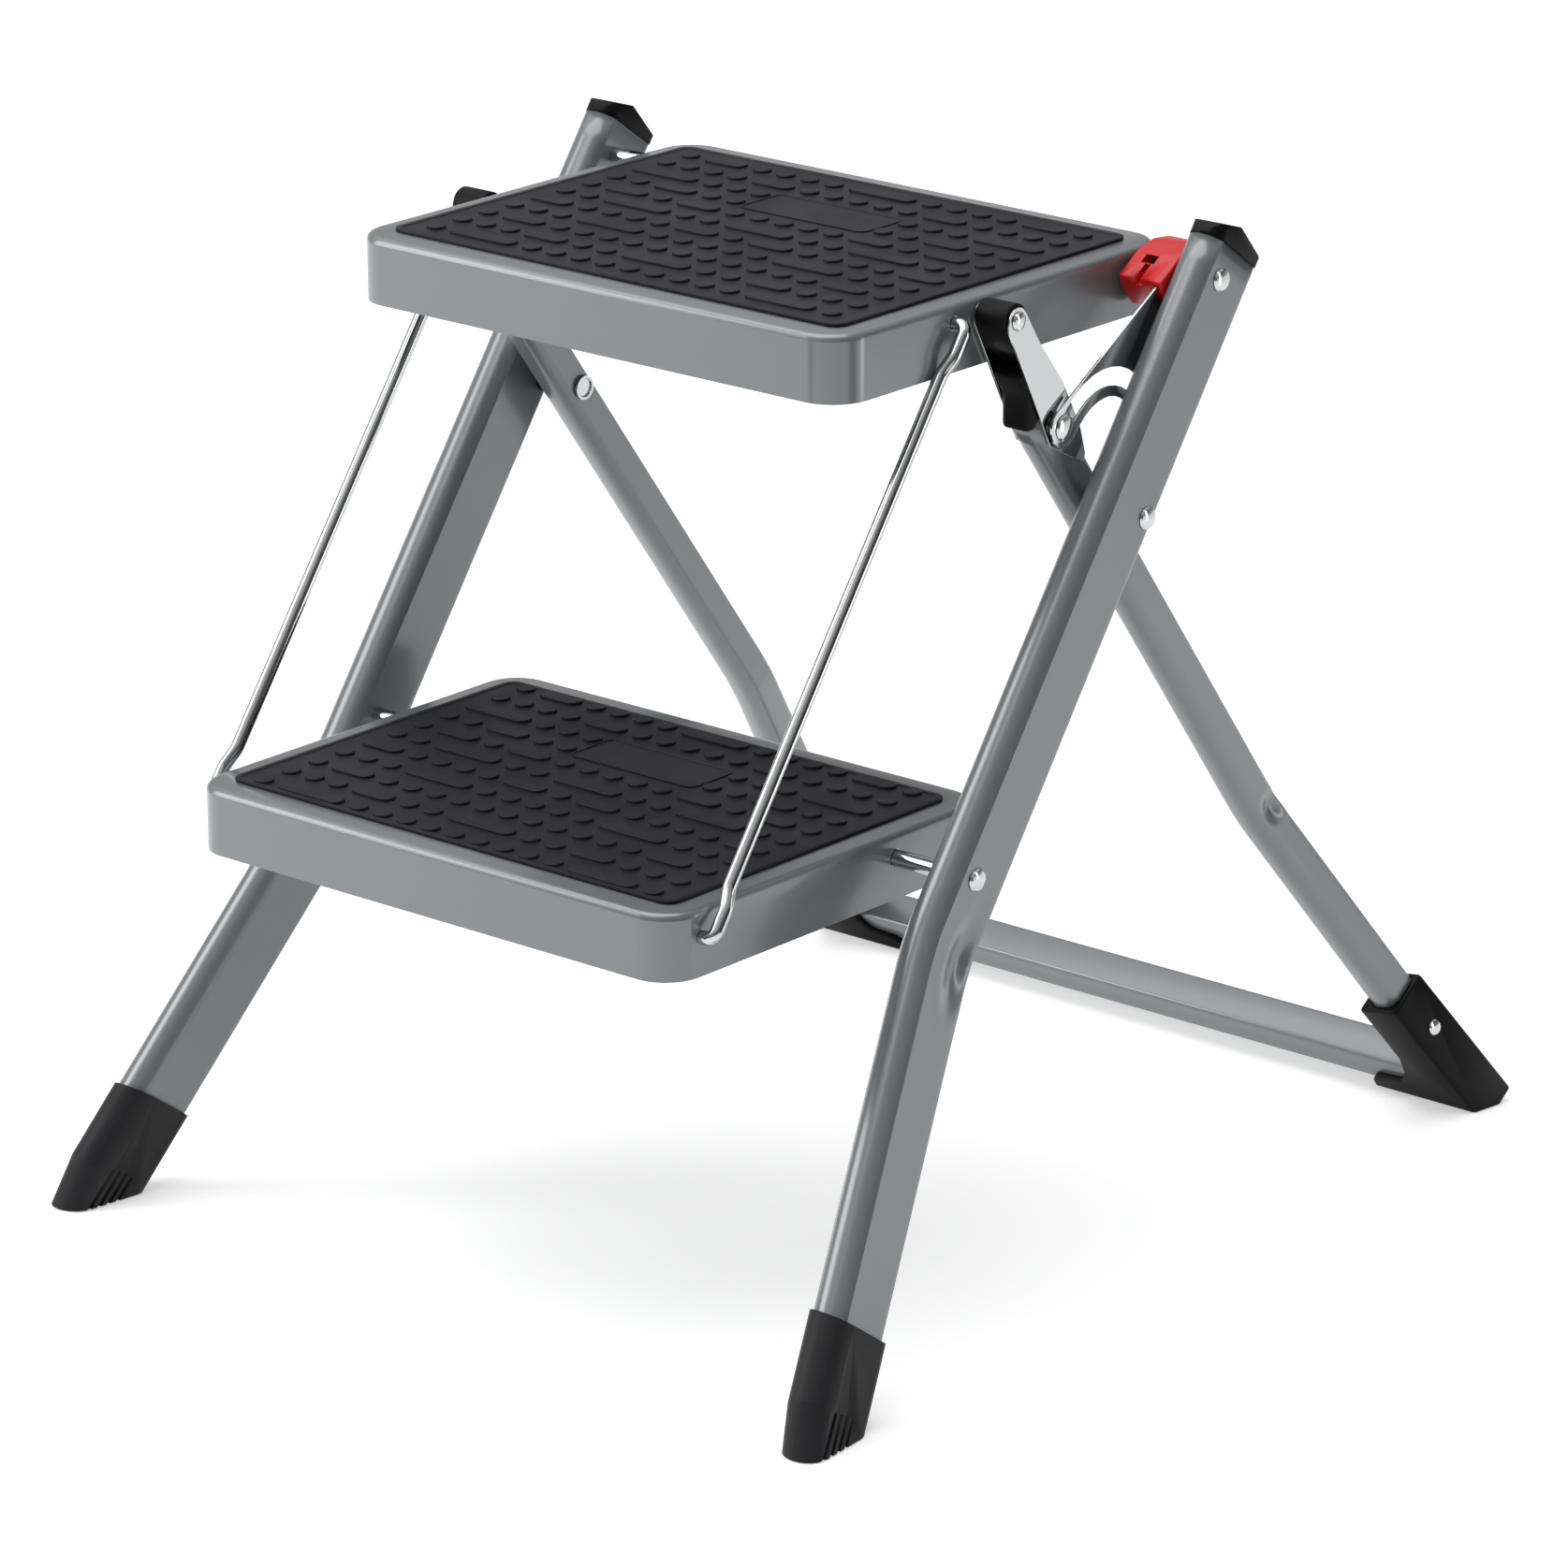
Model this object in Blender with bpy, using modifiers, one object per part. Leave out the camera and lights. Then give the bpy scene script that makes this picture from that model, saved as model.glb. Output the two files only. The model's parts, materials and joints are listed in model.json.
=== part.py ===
# Folding two-step stool: two crossed tube frames, two pressed treads and the linkage that folds them.
#
# X runs across the stool and X = 0 is its middle; the side with the red catch is +X. The stool faces
# -Y, +Z is up and the floor is Z = 0. Everything is in metres. Points of the side view are (y, z).
# When all pieces are made, the stool is moved along Y so that the origin is under its middle.
import bpy
import bmesh
from math import acos, asin, atan2, cos, pi, radians, sin, sqrt
from mathutils import Matrix, Vector

# Pivots in the side view, with the stool open
TOP = Vector((0.1050, 0.4570))
LOW = Vector((-0.0680, 0.2155))
CROSS = Vector((0.0526, 0.3565))
KNEE = Vector((0.0200, 0.4020))
ARM = Vector((-0.0100, 0.4570))
WIRE_AHEAD = Vector((-0.1332, -0.0012))

# Fold of the rear frame about CROSS, and the turn of the stay that goes with it
FOLD_DEG = 70.0
STAY_DEG = 13.0

# Clearances, and the least step between two points of an outline
GAP = 0.0003
HAIR = 0.00001

# Treads: pressed pans, placed from the rods that they turn on
TREAD_HALF = 0.1470
TREAD_OVER_ROD = 0.0080
TREAD_AHEAD = 0.2136
TREAD_BEHIND = 0.0220
LOW_TREAD_OVER_ROD = 0.0119
LOW_TREAD_AHEAD = 0.1544
LOW_TREAD_BEHIND = 0.0660
SKIRT = 0.0315
PAN_CORNER = 0.0190
PAN_EDGE = 0.0032
PAN_SHEET = 0.0015
MAT_MARGIN = 0.0120
MAT_END_MARGIN = 0.0140
MAT_THICK = 0.0020
MAT_CORNER = 0.0070
MAT_EDGE = 0.0006

# Rooms beside the treads: the inner cheeks run in one, the outer cheeks and the stay in the other
INNER_LANE = 0.0025
OUTER_LANE = 0.0075

# Front frame: a D-shaped tube each side, round side forward
FRONT_WIDTH = 0.0190
FRONT_AHEAD = 0.0155
FRONT_BEHIND = 0.0215
FRONT_CORNER = 0.0025
FRONT_WALL = 0.0013
FRONT_ABOVE = 0.0150
FRONT_BEND = 0.3336
FRONT_SPLAY = 0.190
FRONT_STAND = 0.0222
BEND_RUN = 0.0140

# Rear frame: a smaller tube, bent down and across
REAR_WIDTH = 0.0175
REAR_AHEAD = 0.0121
REAR_BEHIND = 0.0071
REAR_ROUND = 0.0070
REAR_CORNER = 0.0022
REAR_WALL = 0.0012
REAR_PITCH_DEG = 53.3
REAR_ABOVE = 0.0680
REAR_BEND = 0.2226
REAR_SPLAY = 0.169
REAR_STAND = 0.0216

# Rods, rivets and studs
ROD_R = 0.0040
ROD_HEAD_R = 0.0055
RIVET_R = 0.0035
RIVET_HEAD_R = 0.0055
RIVET_BACK_R = 0.0060
RIVET_BACK = 0.0016
HEAD_RISE = 0.0020
SPACER_R = 0.0060
STUD_R = 0.0040
STUD_COLLAR_R = 0.0055
STUD_HEAD_R = 0.0065
STUD_HEAD_RISE = 0.0018
PIN_R = 0.0030
PIN_HEAD_R = 0.0045
PIN_HEAD_RISE = 0.0017

# Wires between the treads
WIRE_R = 0.00325
WIRE_STAND = 0.0005
WIRE_INSIDE = 0.0045
WIRE_BEND_R = 0.0045

# Links between the rear frame and the upper tread. The tail is (down from the stud, back) of its corners
CHEEK_SHEET = 0.0012
CHEEK_END_R = 0.0080
CHEEK_FRONT = 0.0095
CHEEK_TOE = 0.0044
CHEEK_TAIL = ((0.0184, 0.0000), (0.0269, 0.0060), (0.0234, 0.0090), (0.0094, 0.0120), (-0.0170, 0.0119))
CHEEK_WAIST = (0.0187, 0.0074)
SLEEVE_R = 0.0095
SLEEVE_BROW = (0.0530, 0.0079)
SLEEVE_CHIN = 0.0010
SLEEVE_BACK = 0.0080
SLEEVE_EDGE = 0.0008

# Stay plate and catch on the right side. The catch's corners are (y, z) from the top rod
STAY_SHEET = 0.0012
STAY_LANE = 0.0019
STAY_EYE_R = 0.0070
STAY_RIM = 0.0050
CATCH_CLEAR = 0.0006
CATCH_DEG = 25.0
CATCH_EDGE = 0.0010
CATCH_CORNERS = ((-0.0194, -0.0010), (-0.0050, 0.0085), (0.0060, 0.0112), (0.0184, 0.0100), (0.0200, -0.0020),
                 (0.0060, -0.0150), (-0.0092, -0.0166), (-0.0168, -0.0075))
CATCH_WINDOW = ((-0.0132, 0.0060), (-0.0088, 0.0084), (0.0010, 0.0030), (-0.0020, -0.0030))
CATCH_WINDOW_X = (0.0068, 0.0140)
CATCH_HOOK = ((-0.0210, -0.0010), (-0.0120, 0.0050), (-0.0090, 0.0010), (-0.0180, -0.0045))
CATCH_HOOK_X = (0.0095, 0.0128)

# Plastic caps on the front legs: a brim round the tube, a nose, a ridge and a lower back edge
CAP_PROUD = 0.0005
CAP_PLUG = 0.0090
CAP_BRIM = 0.0025
CAP_NOSE_UP = 0.0085
CAP_NOSE_BACK = 0.0030
CAP_RIDGE_UP = 0.0135
CAP_RIDGE_BACK = 0.0145
CAP_BACK_UP = 0.0060
CAP_EDGE = 0.0014
PLUG_ROOT = 0.0030
PLUG_CLEAR = 0.0003

# Plastic caps on the rear legs. They fill the link below its sleeve and end in an arc about the stud
REAR_CAP_R = 0.0365
REAR_CAP_FRONT = 0.0094
REAR_CAP_SHOULDER = 0.0230
REAR_CAP_PROUD = 0.0012
REAR_CAP_SKIRT = 0.0100
REAR_CAP_WRAP = 0.0030
REAR_CAP_ROUND = 0.0034
REAR_CAP_RISE = 0.0010
REAR_PLUG = 0.0065

# Rubber boots of the front legs
BOOT_WALL = 0.0020
BOOT_GRIP = 0.0350
BOOT_SHOULDER = 0.0050
BOOT_LONG = 0.0600
BOOT_TOE = 0.0060
BOOT_NARROW = 0.97
SLIT_WIDTH = 0.0012
SLIT_DEEP = 0.0009
SLIT_LONG = 0.0160
SLIT_BELOW = 0.0150
SLIT_COUNT = 3
SLIT_PITCH = 0.0045

# Corner feet of the rear frame
HEEL_WALL = 0.0031
HEEL_GRIP = 0.0650
HEEL_INSET = 0.0005
HEEL_SOLE = 0.0130
HEEL_FLARE = 0.0050
HEEL_NOTCH = 0.0060
HEEL_FILLET = 0.0020
HEEL_TOE_LONG = 0.0200
HEEL_TOE_STEP = (0.0050, 0.0015)
HEEL_EDGE = 0.0015
HEEL_RIVET_UP = 0.0396
HEEL_RIVET_R = 0.0040
HEEL_RIVET_LONG = 0.0060
HEEL_RIVET_RISE = 0.0010

# Places that follow from the sizes
FRONT_DOWN = (LOW - TOP).normalized()
REAR_DOWN = Vector((cos(radians(REAR_PITCH_DEG)), -sin(radians(REAR_PITCH_DEG))))
REAR_IN = TREAD_HALF + INNER_LANE
REAR_OUT = REAR_IN + REAR_WIDTH
FRONT_IN = REAR_OUT + OUTER_LANE
FRONT_OUT = FRONT_IN + FRONT_WIDTH
FRONT_LENGTH = TOP.y / -FRONT_DOWN.y - FRONT_STAND
REAR_BAR = CROSS.y / -REAR_DOWN.y - REAR_STAND
BOOT_TOP = FRONT_LENGTH - BOOT_GRIP
HEEL_TOP = REAR_BAR - HEEL_GRIP
HEEL_RIVET = REAR_BAR - HEEL_RIVET_UP
HEEL_INNER = REAR_IN + HEEL_INSET
HEEL_LOW = REAR_BAR + REAR_WIDTH / 2.0 + HEEL_SOLE
CHEEK_INNER = (REAR_IN - GAP - CHEEK_SHEET, REAR_IN - GAP)
CHEEK_OUTER = (REAR_OUT + GAP, REAR_OUT + GAP + CHEEK_SHEET)
STAY_X = (CHEEK_OUTER[1] + STAY_LANE, CHEEK_OUTER[1] + STAY_LANE + STAY_SHEET)
UPPER_HOOK = TOP + WIRE_AHEAD
LOWER_HOOK = LOW + WIRE_AHEAD

for old in list(bpy.data.objects):
    bpy.data.objects.remove(old, do_unlink=True)

stool = bpy.data.collections.new("folding_step_stool")
cutters = bpy.data.collections.new("cutters")
bpy.context.scene.collection.children.link(stool)
bpy.context.scene.collection.children.link(cutters)


def material(name, color, roughness, metallic):
    made = bpy.data.materials.new(name)
    made.use_nodes = True
    shader = made.node_tree.nodes["Principled BSDF"]
    shader.inputs["Base Color"].default_value = (*color, 1.0)
    shader.inputs["Roughness"].default_value = roughness
    shader.inputs["Metallic"].default_value = metallic
    made.diffuse_color = (*color, 1.0)
    return made


SILVER = ((0.27, 0.30, 0.31), 0.32, 0.35)
BLACK = ((0.016, 0.016, 0.018), 0.50, 0.0)
RUBBER = ((0.042, 0.041, 0.047), 0.65, 0.0)
CHROME = ((0.75, 0.76, 0.78), 0.12, 1.0)
RED = ((0.75, 0.03, 0.03), 0.38, 0.0)


def finish(obj, look):
    """Gives a piece its own material and shades its round faces smooth."""
    obj.data.materials.clear()
    obj.data.materials.append(material(obj.name, *look))
    obj.data.shade_smooth()
    obj.data.set_sharp_from_angle(angle=radians(32.0))
    return obj


def new_object(name, bm, collection):
    mesh = bpy.data.meshes.new(name)
    bm.to_mesh(mesh)
    bm.free()
    obj = bpy.data.objects.new(name, mesh)
    collection.objects.link(obj)
    return obj


def mesh_of(obj, collection):
    """Replaces an object with its evaluated mesh, welded, in the same place."""
    bpy.context.view_layer.update()
    graph = bpy.context.evaluated_depsgraph_get()
    mesh = bpy.data.meshes.new_from_object(obj.evaluated_get(graph))
    bm = bmesh.new()
    bm.from_mesh(mesh)
    bmesh.ops.remove_doubles(bm, verts=bm.verts, dist=HAIR)
    bmesh.ops.recalc_face_normals(bm, faces=bm.faces)
    bm.to_mesh(mesh)
    bm.free()
    made = bpy.data.objects.new(obj.name, mesh)
    made.matrix_world = obj.matrix_world.copy()
    collection.objects.link(made)
    name = obj.name
    bpy.data.objects.remove(obj, do_unlink=True)
    made.name = name
    return made


def boolean(obj, cutter, operation="DIFFERENCE"):
    """Cuts or joins with another object, which stays behind as a hidden guide."""
    cutter.hide_render = True
    cutter.display_type = "WIRE"
    modifier = obj.modifiers.new(operation.title(), "BOOLEAN")
    modifier.operation = operation
    modifier.solver = "EXACT"
    modifier.object = cutter


def solidify(obj, sheet):
    modifier = obj.modifiers.new("Sheet", "SOLIDIFY")
    modifier.thickness = sheet
    modifier.offset = -1.0
    modifier.use_even_offset = True


def bevel(obj, width, segments=2):
    modifier = obj.modifiers.new("Edges", "BEVEL")
    modifier.width = width
    modifier.segments = segments
    modifier.limit_method = "ANGLE"
    modifier.angle_limit = radians(40.0)


def arc(center, radius, start, end, steps):
    """Points along an arc of the side view, angles in degrees."""
    turns = [radians(start + (end - start) * i / steps) for i in range(steps + 1)]
    return [center + radius * Vector((cos(a), sin(a))) for a in turns]


def extruded(name, loops, low, high, collection, matrix=Matrix.Identity(4)):
    """An outline with optional holes, between two distances along its normal."""
    data = bpy.data.curves.new(name, "CURVE")
    data.dimensions = "2D"
    data.fill_mode = "BOTH"
    data.extrude = (high - low) / 2.0
    for loop in loops:
        spline = data.splines.new("POLY")
        spline.points.add(len(loop) - 1)
        for point, place in zip(spline.points, loop):
            point.co = (place[0], place[1], 0.0, 1.0)
        spline.use_cyclic_u = True
    obj = bpy.data.objects.new(name, data)
    collection.objects.link(obj)
    obj.matrix_world = matrix @ Matrix.Translation((0.0, 0.0, (low + high) / 2.0))
    return mesh_of(obj, collection)


# Local x, y and z of a side-view outline are the stool's Y, Z and X
SIDE_VIEW = Matrix(((0, 0, 1, 0), (1, 0, 0, 0), (0, 1, 0, 0), (0, 0, 0, 1)))


def side_plate(name, loops, x0, x1, collection=stool):
    return extruded(name, loops, min(x0, x1), max(x0, x1), collection, SIDE_VIEW)


def turned(name, profile, matrix, collection=stool, sides=24):
    """A turned piece. The profile is (height, radius) pairs from the top down, ends on the axis."""
    bm = bmesh.new()
    points = [bm.verts.new((radius, 0.0, height)) for height, radius in profile]
    for first, second in zip(points, points[1:]):
        bm.edges.new((first, second))
    obj = new_object(name, bm, collection)
    screw = obj.modifiers.new("Turn", "SCREW")
    screw.axis = "Z"
    screw.steps = sides
    screw.render_steps = sides
    screw.use_merge_vertices = True
    screw.merge_threshold = HAIR
    obj.matrix_world = matrix
    return mesh_of(obj, collection)


def on_axis(at, side=1.0):
    """Puts a turned piece's axis on a pivot, its top end outward on the given side."""
    turn = Matrix.Rotation(side * pi / 2.0, 4, "Y")
    return Matrix.Translation((0.0, at.x, at.y)) @ turn


def bore(name, at, radius, x0, x1):
    """A cutter for a round hole along X."""
    profile = [(x1, 0.0), (x1, radius), (x0, radius), (x0, 0.0)]
    return turned(name + "_bore", profile, on_axis(at), cutters, 20)


def dome(base, rise, radius):
    """Profile of a rounded rivet head, from its crown down to its rim."""
    return [(base + rise, 0.0), (base + rise * 0.9, radius * 0.5), (base + rise * 0.55, radius * 0.86),
            (base, radius)]


def frame_plane(origin, down):
    """Local x across the stool, y down along the frame and z along the frame's normal."""
    return Matrix(((1.0, 0.0, 0.0, 0.0), (0.0, down.x, -down.y, origin.x),
                   (0.0, down.y, down.x, origin.y), (0.0, 0.0, 0.0, 1.0)))


FRONT_PLANE = frame_plane(TOP, FRONT_DOWN)
REAR_PLANE = frame_plane(CROSS, REAR_DOWN)


def tube_section(width, ahead, behind, round_r, corner_r, grow=0.0):
    """Outline of a tube: round towards the front, nearly square corners behind."""
    half = width / 2.0 + grow
    front = -ahead - grow
    back = behind + grow
    points = []
    corners = ((half - corner_r, back - corner_r, corner_r, 0.0, 3),
               (corner_r - half, back - corner_r, corner_r, 90.0, 3),
               (round_r - half, front + round_r, round_r, 180.0, 6),
               (half - round_r, front + round_r, round_r, 270.0, 6))
    for x, y, radius, start, steps in corners:
        points.extend(arc(Vector((x, y)), radius, start, start + 90.0, steps))
    kept = [p for i, p in enumerate(points) if (p - points[i - 1]).length > 5.0 * HAIR]
    return kept


def front_section(grow=0.0):
    round_r = FRONT_WIDTH / 2.0 + grow - HAIR
    return tube_section(FRONT_WIDTH, FRONT_AHEAD, FRONT_BEHIND, round_r, FRONT_CORNER + max(grow, 0.0), grow)


def rear_section(grow=0.0):
    return tube_section(REAR_WIDTH, REAR_AHEAD, REAR_BEHIND, REAR_ROUND + grow, REAR_CORNER + max(grow, 0.0),
                        grow)


def splayed(middle, start, bend, slope, end):
    """Path (x, distance down) of a leg that runs straight, bends softly and then splays outward."""
    path = [(middle, start)]
    steps = 4
    for i in range(steps + 1):
        t = i / steps
        path.append((middle + slope * BEND_RUN * t * t, bend + BEND_RUN * (2.0 * t - 1.0)))
    path.append((middle + slope * (end - bend), end))
    return path


def front_path(start=-FRONT_ABOVE, end=FRONT_LENGTH):
    return splayed(FRONT_IN + FRONT_WIDTH / 2.0, start, FRONT_BEND, FRONT_SPLAY, end)


def rear_path(start=-REAR_ABOVE, end=REAR_BAR - REAR_WIDTH / 2.0 - GAP):
    return splayed(REAR_IN + REAR_WIDTH / 2.0, start, REAR_BEND, REAR_SPLAY, end)


def rear_middle(down):
    """How far the middle of a rear leg is from the stool's middle, at a distance below CROSS."""
    return REAR_IN + REAR_WIDTH / 2.0 + REAR_SPLAY * max(down - REAR_BEND, 0.0)


def swept(name, sections, path, side, matrix, collection, hollow=False):
    """A tube section moved along a path in the frame's plane, mitred at each bend."""
    bm = bmesh.new()
    rings = []
    for i, (x, down) in enumerate(path):
        before = Vector(path[i]) - Vector(path[i - 1]) if i > 0 else None
        after = Vector(path[i + 1]) - Vector(path[i]) if i < len(path) - 1 else None
        if before is None or after is None:
            run = (after or before).normalized()
            across = Vector((1.0 / run.y, 0.0))
        else:
            run = (before.normalized() + after.normalized()).normalized()
            stretch = 1.0 / run.dot(before.normalized())
            across = Vector((run.y, -run.x)) * stretch
        section = sections[min(i, len(sections) - 1)]
        rings.append([Vector((side * (x + across.x * p.x), down + across.y * p.x, p.y)) for p in section])
    first = [bm.verts.new(p) for p in rings[0]]
    edges = [bm.edges.new((first[i - 1], first[i])) for i in range(len(first))]
    bmesh.ops.edgeloop_fill(bm, edges=edges)
    last = first
    for ring in rings[1:]:
        grown = bmesh.ops.extrude_edge_only(bm, edges=edges)["geom"]
        edges = [e for e in grown if isinstance(e, bmesh.types.BMEdge)]
        fresh = [v for v in grown if isinstance(v, bmesh.types.BMVert)]
        pairs = {}
        for vert in fresh:
            other = next(e.other_vert(vert) for e in vert.link_edges if e.other_vert(vert) in last)
            pairs[other] = vert
        now = [pairs[vert] for vert in last]
        for vert, place in zip(now, ring):
            vert.co = place
        last = now
    bmesh.ops.edgeloop_fill(bm, edges=edges)
    bmesh.ops.recalc_face_normals(bm, faces=bm.faces)
    if hollow:
        ends = [f for f in bm.faces if len(f.verts) > 4]
        bmesh.ops.delete(bm, geom=ends, context="FACES_ONLY")
    obj = new_object(name, bm, collection)
    obj.matrix_world = matrix
    return obj


def box(name, x, y, z, collection, matrix=Matrix.Identity(4)):
    """A box between pairs of limits."""
    bm = bmesh.new()
    bmesh.ops.create_cube(bm, size=1.0)
    bmesh.ops.scale(bm, vec=(abs(x[1] - x[0]), abs(y[1] - y[0]), abs(z[1] - z[0])), verts=bm.verts)
    bmesh.ops.translate(bm, vec=((x[0] + x[1]) / 2.0, (y[0] + y[1]) / 2.0, (z[0] + z[1]) / 2.0),
                        verts=bm.verts)
    obj = new_object(name, bm, collection)
    obj.matrix_world = matrix
    return obj


SIDES = (("right", 1.0), ("left", -1.0))


def front_leg(word, side):
    leg = swept("front_leg_" + word, [front_section()], front_path(), side, FRONT_PLANE, stool, hollow=True)
    solidify(leg, FRONT_WALL)
    reach = (side * (FRONT_IN - FRONT_WALL), side * (FRONT_OUT + FRONT_WALL))
    for spot, at, radius in (("top", TOP, ROD_R), ("low", LOW, ROD_R), ("cross", CROSS, RIVET_R)):
        boolean(leg, bore(leg.name + spot, at, radius + GAP, min(reach), max(reach)))
    finish(leg, SILVER)


def front_cap(word, side):
    """Cap on a front leg's top: a roof-shaped block and a plug that goes into the tube."""
    along = FRONT_DOWN
    behind = Vector((-FRONT_DOWN.y, FRONT_DOWN.x))

    def spot(up, back):
        return TOP - along * (FRONT_ABOVE + up) + behind * back

    outline = [spot(GAP, -FRONT_AHEAD - CAP_PROUD), spot(CAP_BRIM, -FRONT_AHEAD - CAP_PROUD),
               spot(CAP_NOSE_UP, CAP_NOSE_BACK - FRONT_AHEAD),
               spot(CAP_RIDGE_UP, CAP_RIDGE_BACK - FRONT_AHEAD),
               spot(CAP_BACK_UP, FRONT_BEHIND), spot(GAP, FRONT_BEHIND + CAP_PROUD)]
    x0 = side * (FRONT_IN + GAP / 2.0)
    x1 = side * (FRONT_OUT + 2.0 * CAP_PROUD)
    cap = side_plate("front_cap_" + word, [outline], x0, x1)
    middle = FRONT_IN + FRONT_WIDTH / 2.0
    shell = swept(cap.name + "_shell", [front_section(CAP_PROUD)],
                  [(middle, -FRONT_ABOVE - 2.0 * CAP_RIDGE_UP), (middle, 0.0)], side, FRONT_PLANE, cutters)
    boolean(cap, shell, "INTERSECT")
    bevel(cap, CAP_EDGE)
    plug = swept(cap.name + "_plug", [front_section(-FRONT_WALL - PLUG_CLEAR)],
                 [(middle, -FRONT_ABOVE - PLUG_ROOT), (middle, -FRONT_ABOVE + CAP_PLUG)],
                 side, FRONT_PLANE, cutters)
    boolean(cap, plug, "UNION")
    finish(cap, BLACK)


def floor_cutter(name):
    reach = (-2.0 * FRONT_LENGTH, 2.0 * FRONT_LENGTH)
    return box(name + "_floor", reach, reach, (-FRONT_LENGTH, 0.0), cutters)


def front_foot(word, side):
    """Rubber boot over a front leg's end, cut flat by the floor, its toe drawn in, with slits outside."""
    slope = FRONT_SPLAY
    middle = FRONT_IN + FRONT_WIDTH / 2.0
    stops = (BOOT_TOP, FRONT_LENGTH + BOOT_SHOULDER, FRONT_LENGTH + BOOT_LONG)
    path = [(middle + slope * (down - FRONT_BEND), down) for down in stops]
    full = front_section(BOOT_WALL)
    share = BOOT_TOE / (FRONT_AHEAD + FRONT_BEHIND)
    toe = [Vector((p.x * BOOT_NARROW, p.y + (FRONT_BEHIND - p.y) * share * 2.0)) for p in full]
    foot = swept("front_foot_" + word, [full, full, toe], path, side, FRONT_PLANE, stool)
    pocket_path = [(middle + slope * (down - FRONT_BEND), down) for down in (BOOT_TOP - BOOT_GRIP,
                                                                             FRONT_LENGTH + GAP)]
    pocket = swept(foot.name + "_pocket", [front_section(GAP)], pocket_path, side, FRONT_PLANE, cutters)
    boolean(foot, pocket)
    boolean(foot, floor_cutter(foot.name))
    lean = Matrix.Rotation(-side * atan2(slope, 1.0), 4, "Z")
    end = FRONT_LENGTH + SLIT_BELOW
    outer = side * (middle + slope * (end - FRONT_BEND) + FRONT_WIDTH / 2.0 + BOOT_WALL)
    for i in range(SLIT_COUNT):
        shift = (i - (SLIT_COUNT - 1) / 2.0) * SLIT_PITCH
        place = FRONT_PLANE @ Matrix.Translation((outer, end, shift)) @ lean
        slit = box("%s_slit_%d" % (foot.name, i), (-SLIT_DEEP, SLIT_DEEP),
                   (-SLIT_LONG / 2.0, SLIT_LONG), (-SLIT_WIDTH / 2.0, SLIT_WIDTH / 2.0), cutters, place)
        boolean(foot, slit)
    finish(foot, BLACK)


def cross_rod(name, at):
    """Rod right across the stool, riveted over outside both front legs."""
    end = FRONT_OUT + GAP
    half = dome(end, HEAD_RISE, ROD_HEAD_R) + [(end, ROD_R)]
    profile = half + [(-height, radius) for height, radius in reversed(half)]
    finish(turned(name, profile, on_axis(at)), CHROME)


def cross_pivot(word, side):
    """Rivet through a front and a rear leg, and the spacer between the two."""
    outer = FRONT_OUT + GAP
    inner = REAR_IN - GAP
    profile = dome(outer, HEAD_RISE, RIVET_HEAD_R) + [(outer, RIVET_R), (inner, RIVET_R),
                                                      (inner, RIVET_BACK_R),
                                                      (inner - RIVET_BACK, RIVET_BACK_R),
                                                      (inner - RIVET_BACK, 0.0)]
    finish(turned("cross_rivet_" + word, profile, on_axis(CROSS, side)), CHROME)
    ring = [arc(CROSS, SPACER_R, 0.0, 345.0, 23), arc(CROSS, RIVET_R + GAP, 0.0, 345.0, 23)]
    x0 = side * (REAR_OUT + GAP)
    x1 = side * (FRONT_IN - GAP)
    finish(side_plate("cross_spacer_" + word, ring, x0, x1), BLACK)


def rear_leg(word, side):
    leg = swept("rear_leg_" + word, [rear_section()], rear_path(), side, REAR_PLANE, stool, hollow=True)
    solidify(leg, REAR_WALL)
    reach = (side * (REAR_IN - REAR_WALL), side * (REAR_OUT + REAR_WALL))
    for spot, at, radius in (("cross", CROSS, RIVET_R), ("knee", KNEE, STUD_R)):
        boolean(leg, bore(leg.name + spot, at, radius + GAP, min(reach), max(reach)))
    boolean(leg, heel_bore(leg.name, side))
    finish(leg, SILVER)


def bar_matrix():
    """The bar's own plane: its run along X becomes the sweep's direction."""
    turn = Matrix(((0.0, 1.0, 0.0, 0.0), (-1.0, 0.0, 0.0, REAR_BAR), (0.0, 0.0, 1.0, 0.0),
                   (0.0, 0.0, 0.0, 1.0)))
    return REAR_PLANE @ turn


def bar_reach():
    return rear_middle(REAR_BAR) + REAR_WIDTH / 2.0


def rear_bar():
    path = [(0.0, -bar_reach()), (0.0, bar_reach())]
    bar = swept("rear_cross_bar", [rear_section()], path, 1.0, bar_matrix(), stool, hollow=True)
    solidify(bar, REAR_WALL)
    finish(bar, SILVER)


# The link's own directions, from its upper pin to the stud and across
ARM_DOWN = (KNEE - ARM).normalized()
ARM_BACK = Vector((-ARM_DOWN.y, ARM_DOWN.x))
ARM_LONG = (KNEE - ARM).length
LINK_UP_DEG = atan2(-ARM_DOWN.y, -ARM_DOWN.x) * 180.0 / pi


def arm_spot(down, back):
    """A point of the link in the side view, measured from its upper pin."""
    return ARM + ARM_DOWN * down + ARM_BACK * back


def round_edges(obj, chain, radius):
    """Rounds the long edges of a side plate along a chain of points of its outline."""
    bm = bmesh.new()
    bm.from_mesh(obj.data)
    bmesh.ops.dissolve_limit(bm, angle_limit=radians(0.1), verts=bm.verts, edges=bm.edges)

    def near(vert):
        return any((vert.co.xy - point).length < 5.0 * HAIR for point in chain)

    along = [e for e in bm.edges if all(near(v) for v in e.verts)
             and abs(e.verts[0].co.z - e.verts[1].co.z) < HAIR]
    bmesh.ops.bevel(bm, geom=along, offset=radius, segments=4, profile=0.5, affect="EDGES", clamp_overlap=True)
    bm.to_mesh(obj.data)
    bm.free()


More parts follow.
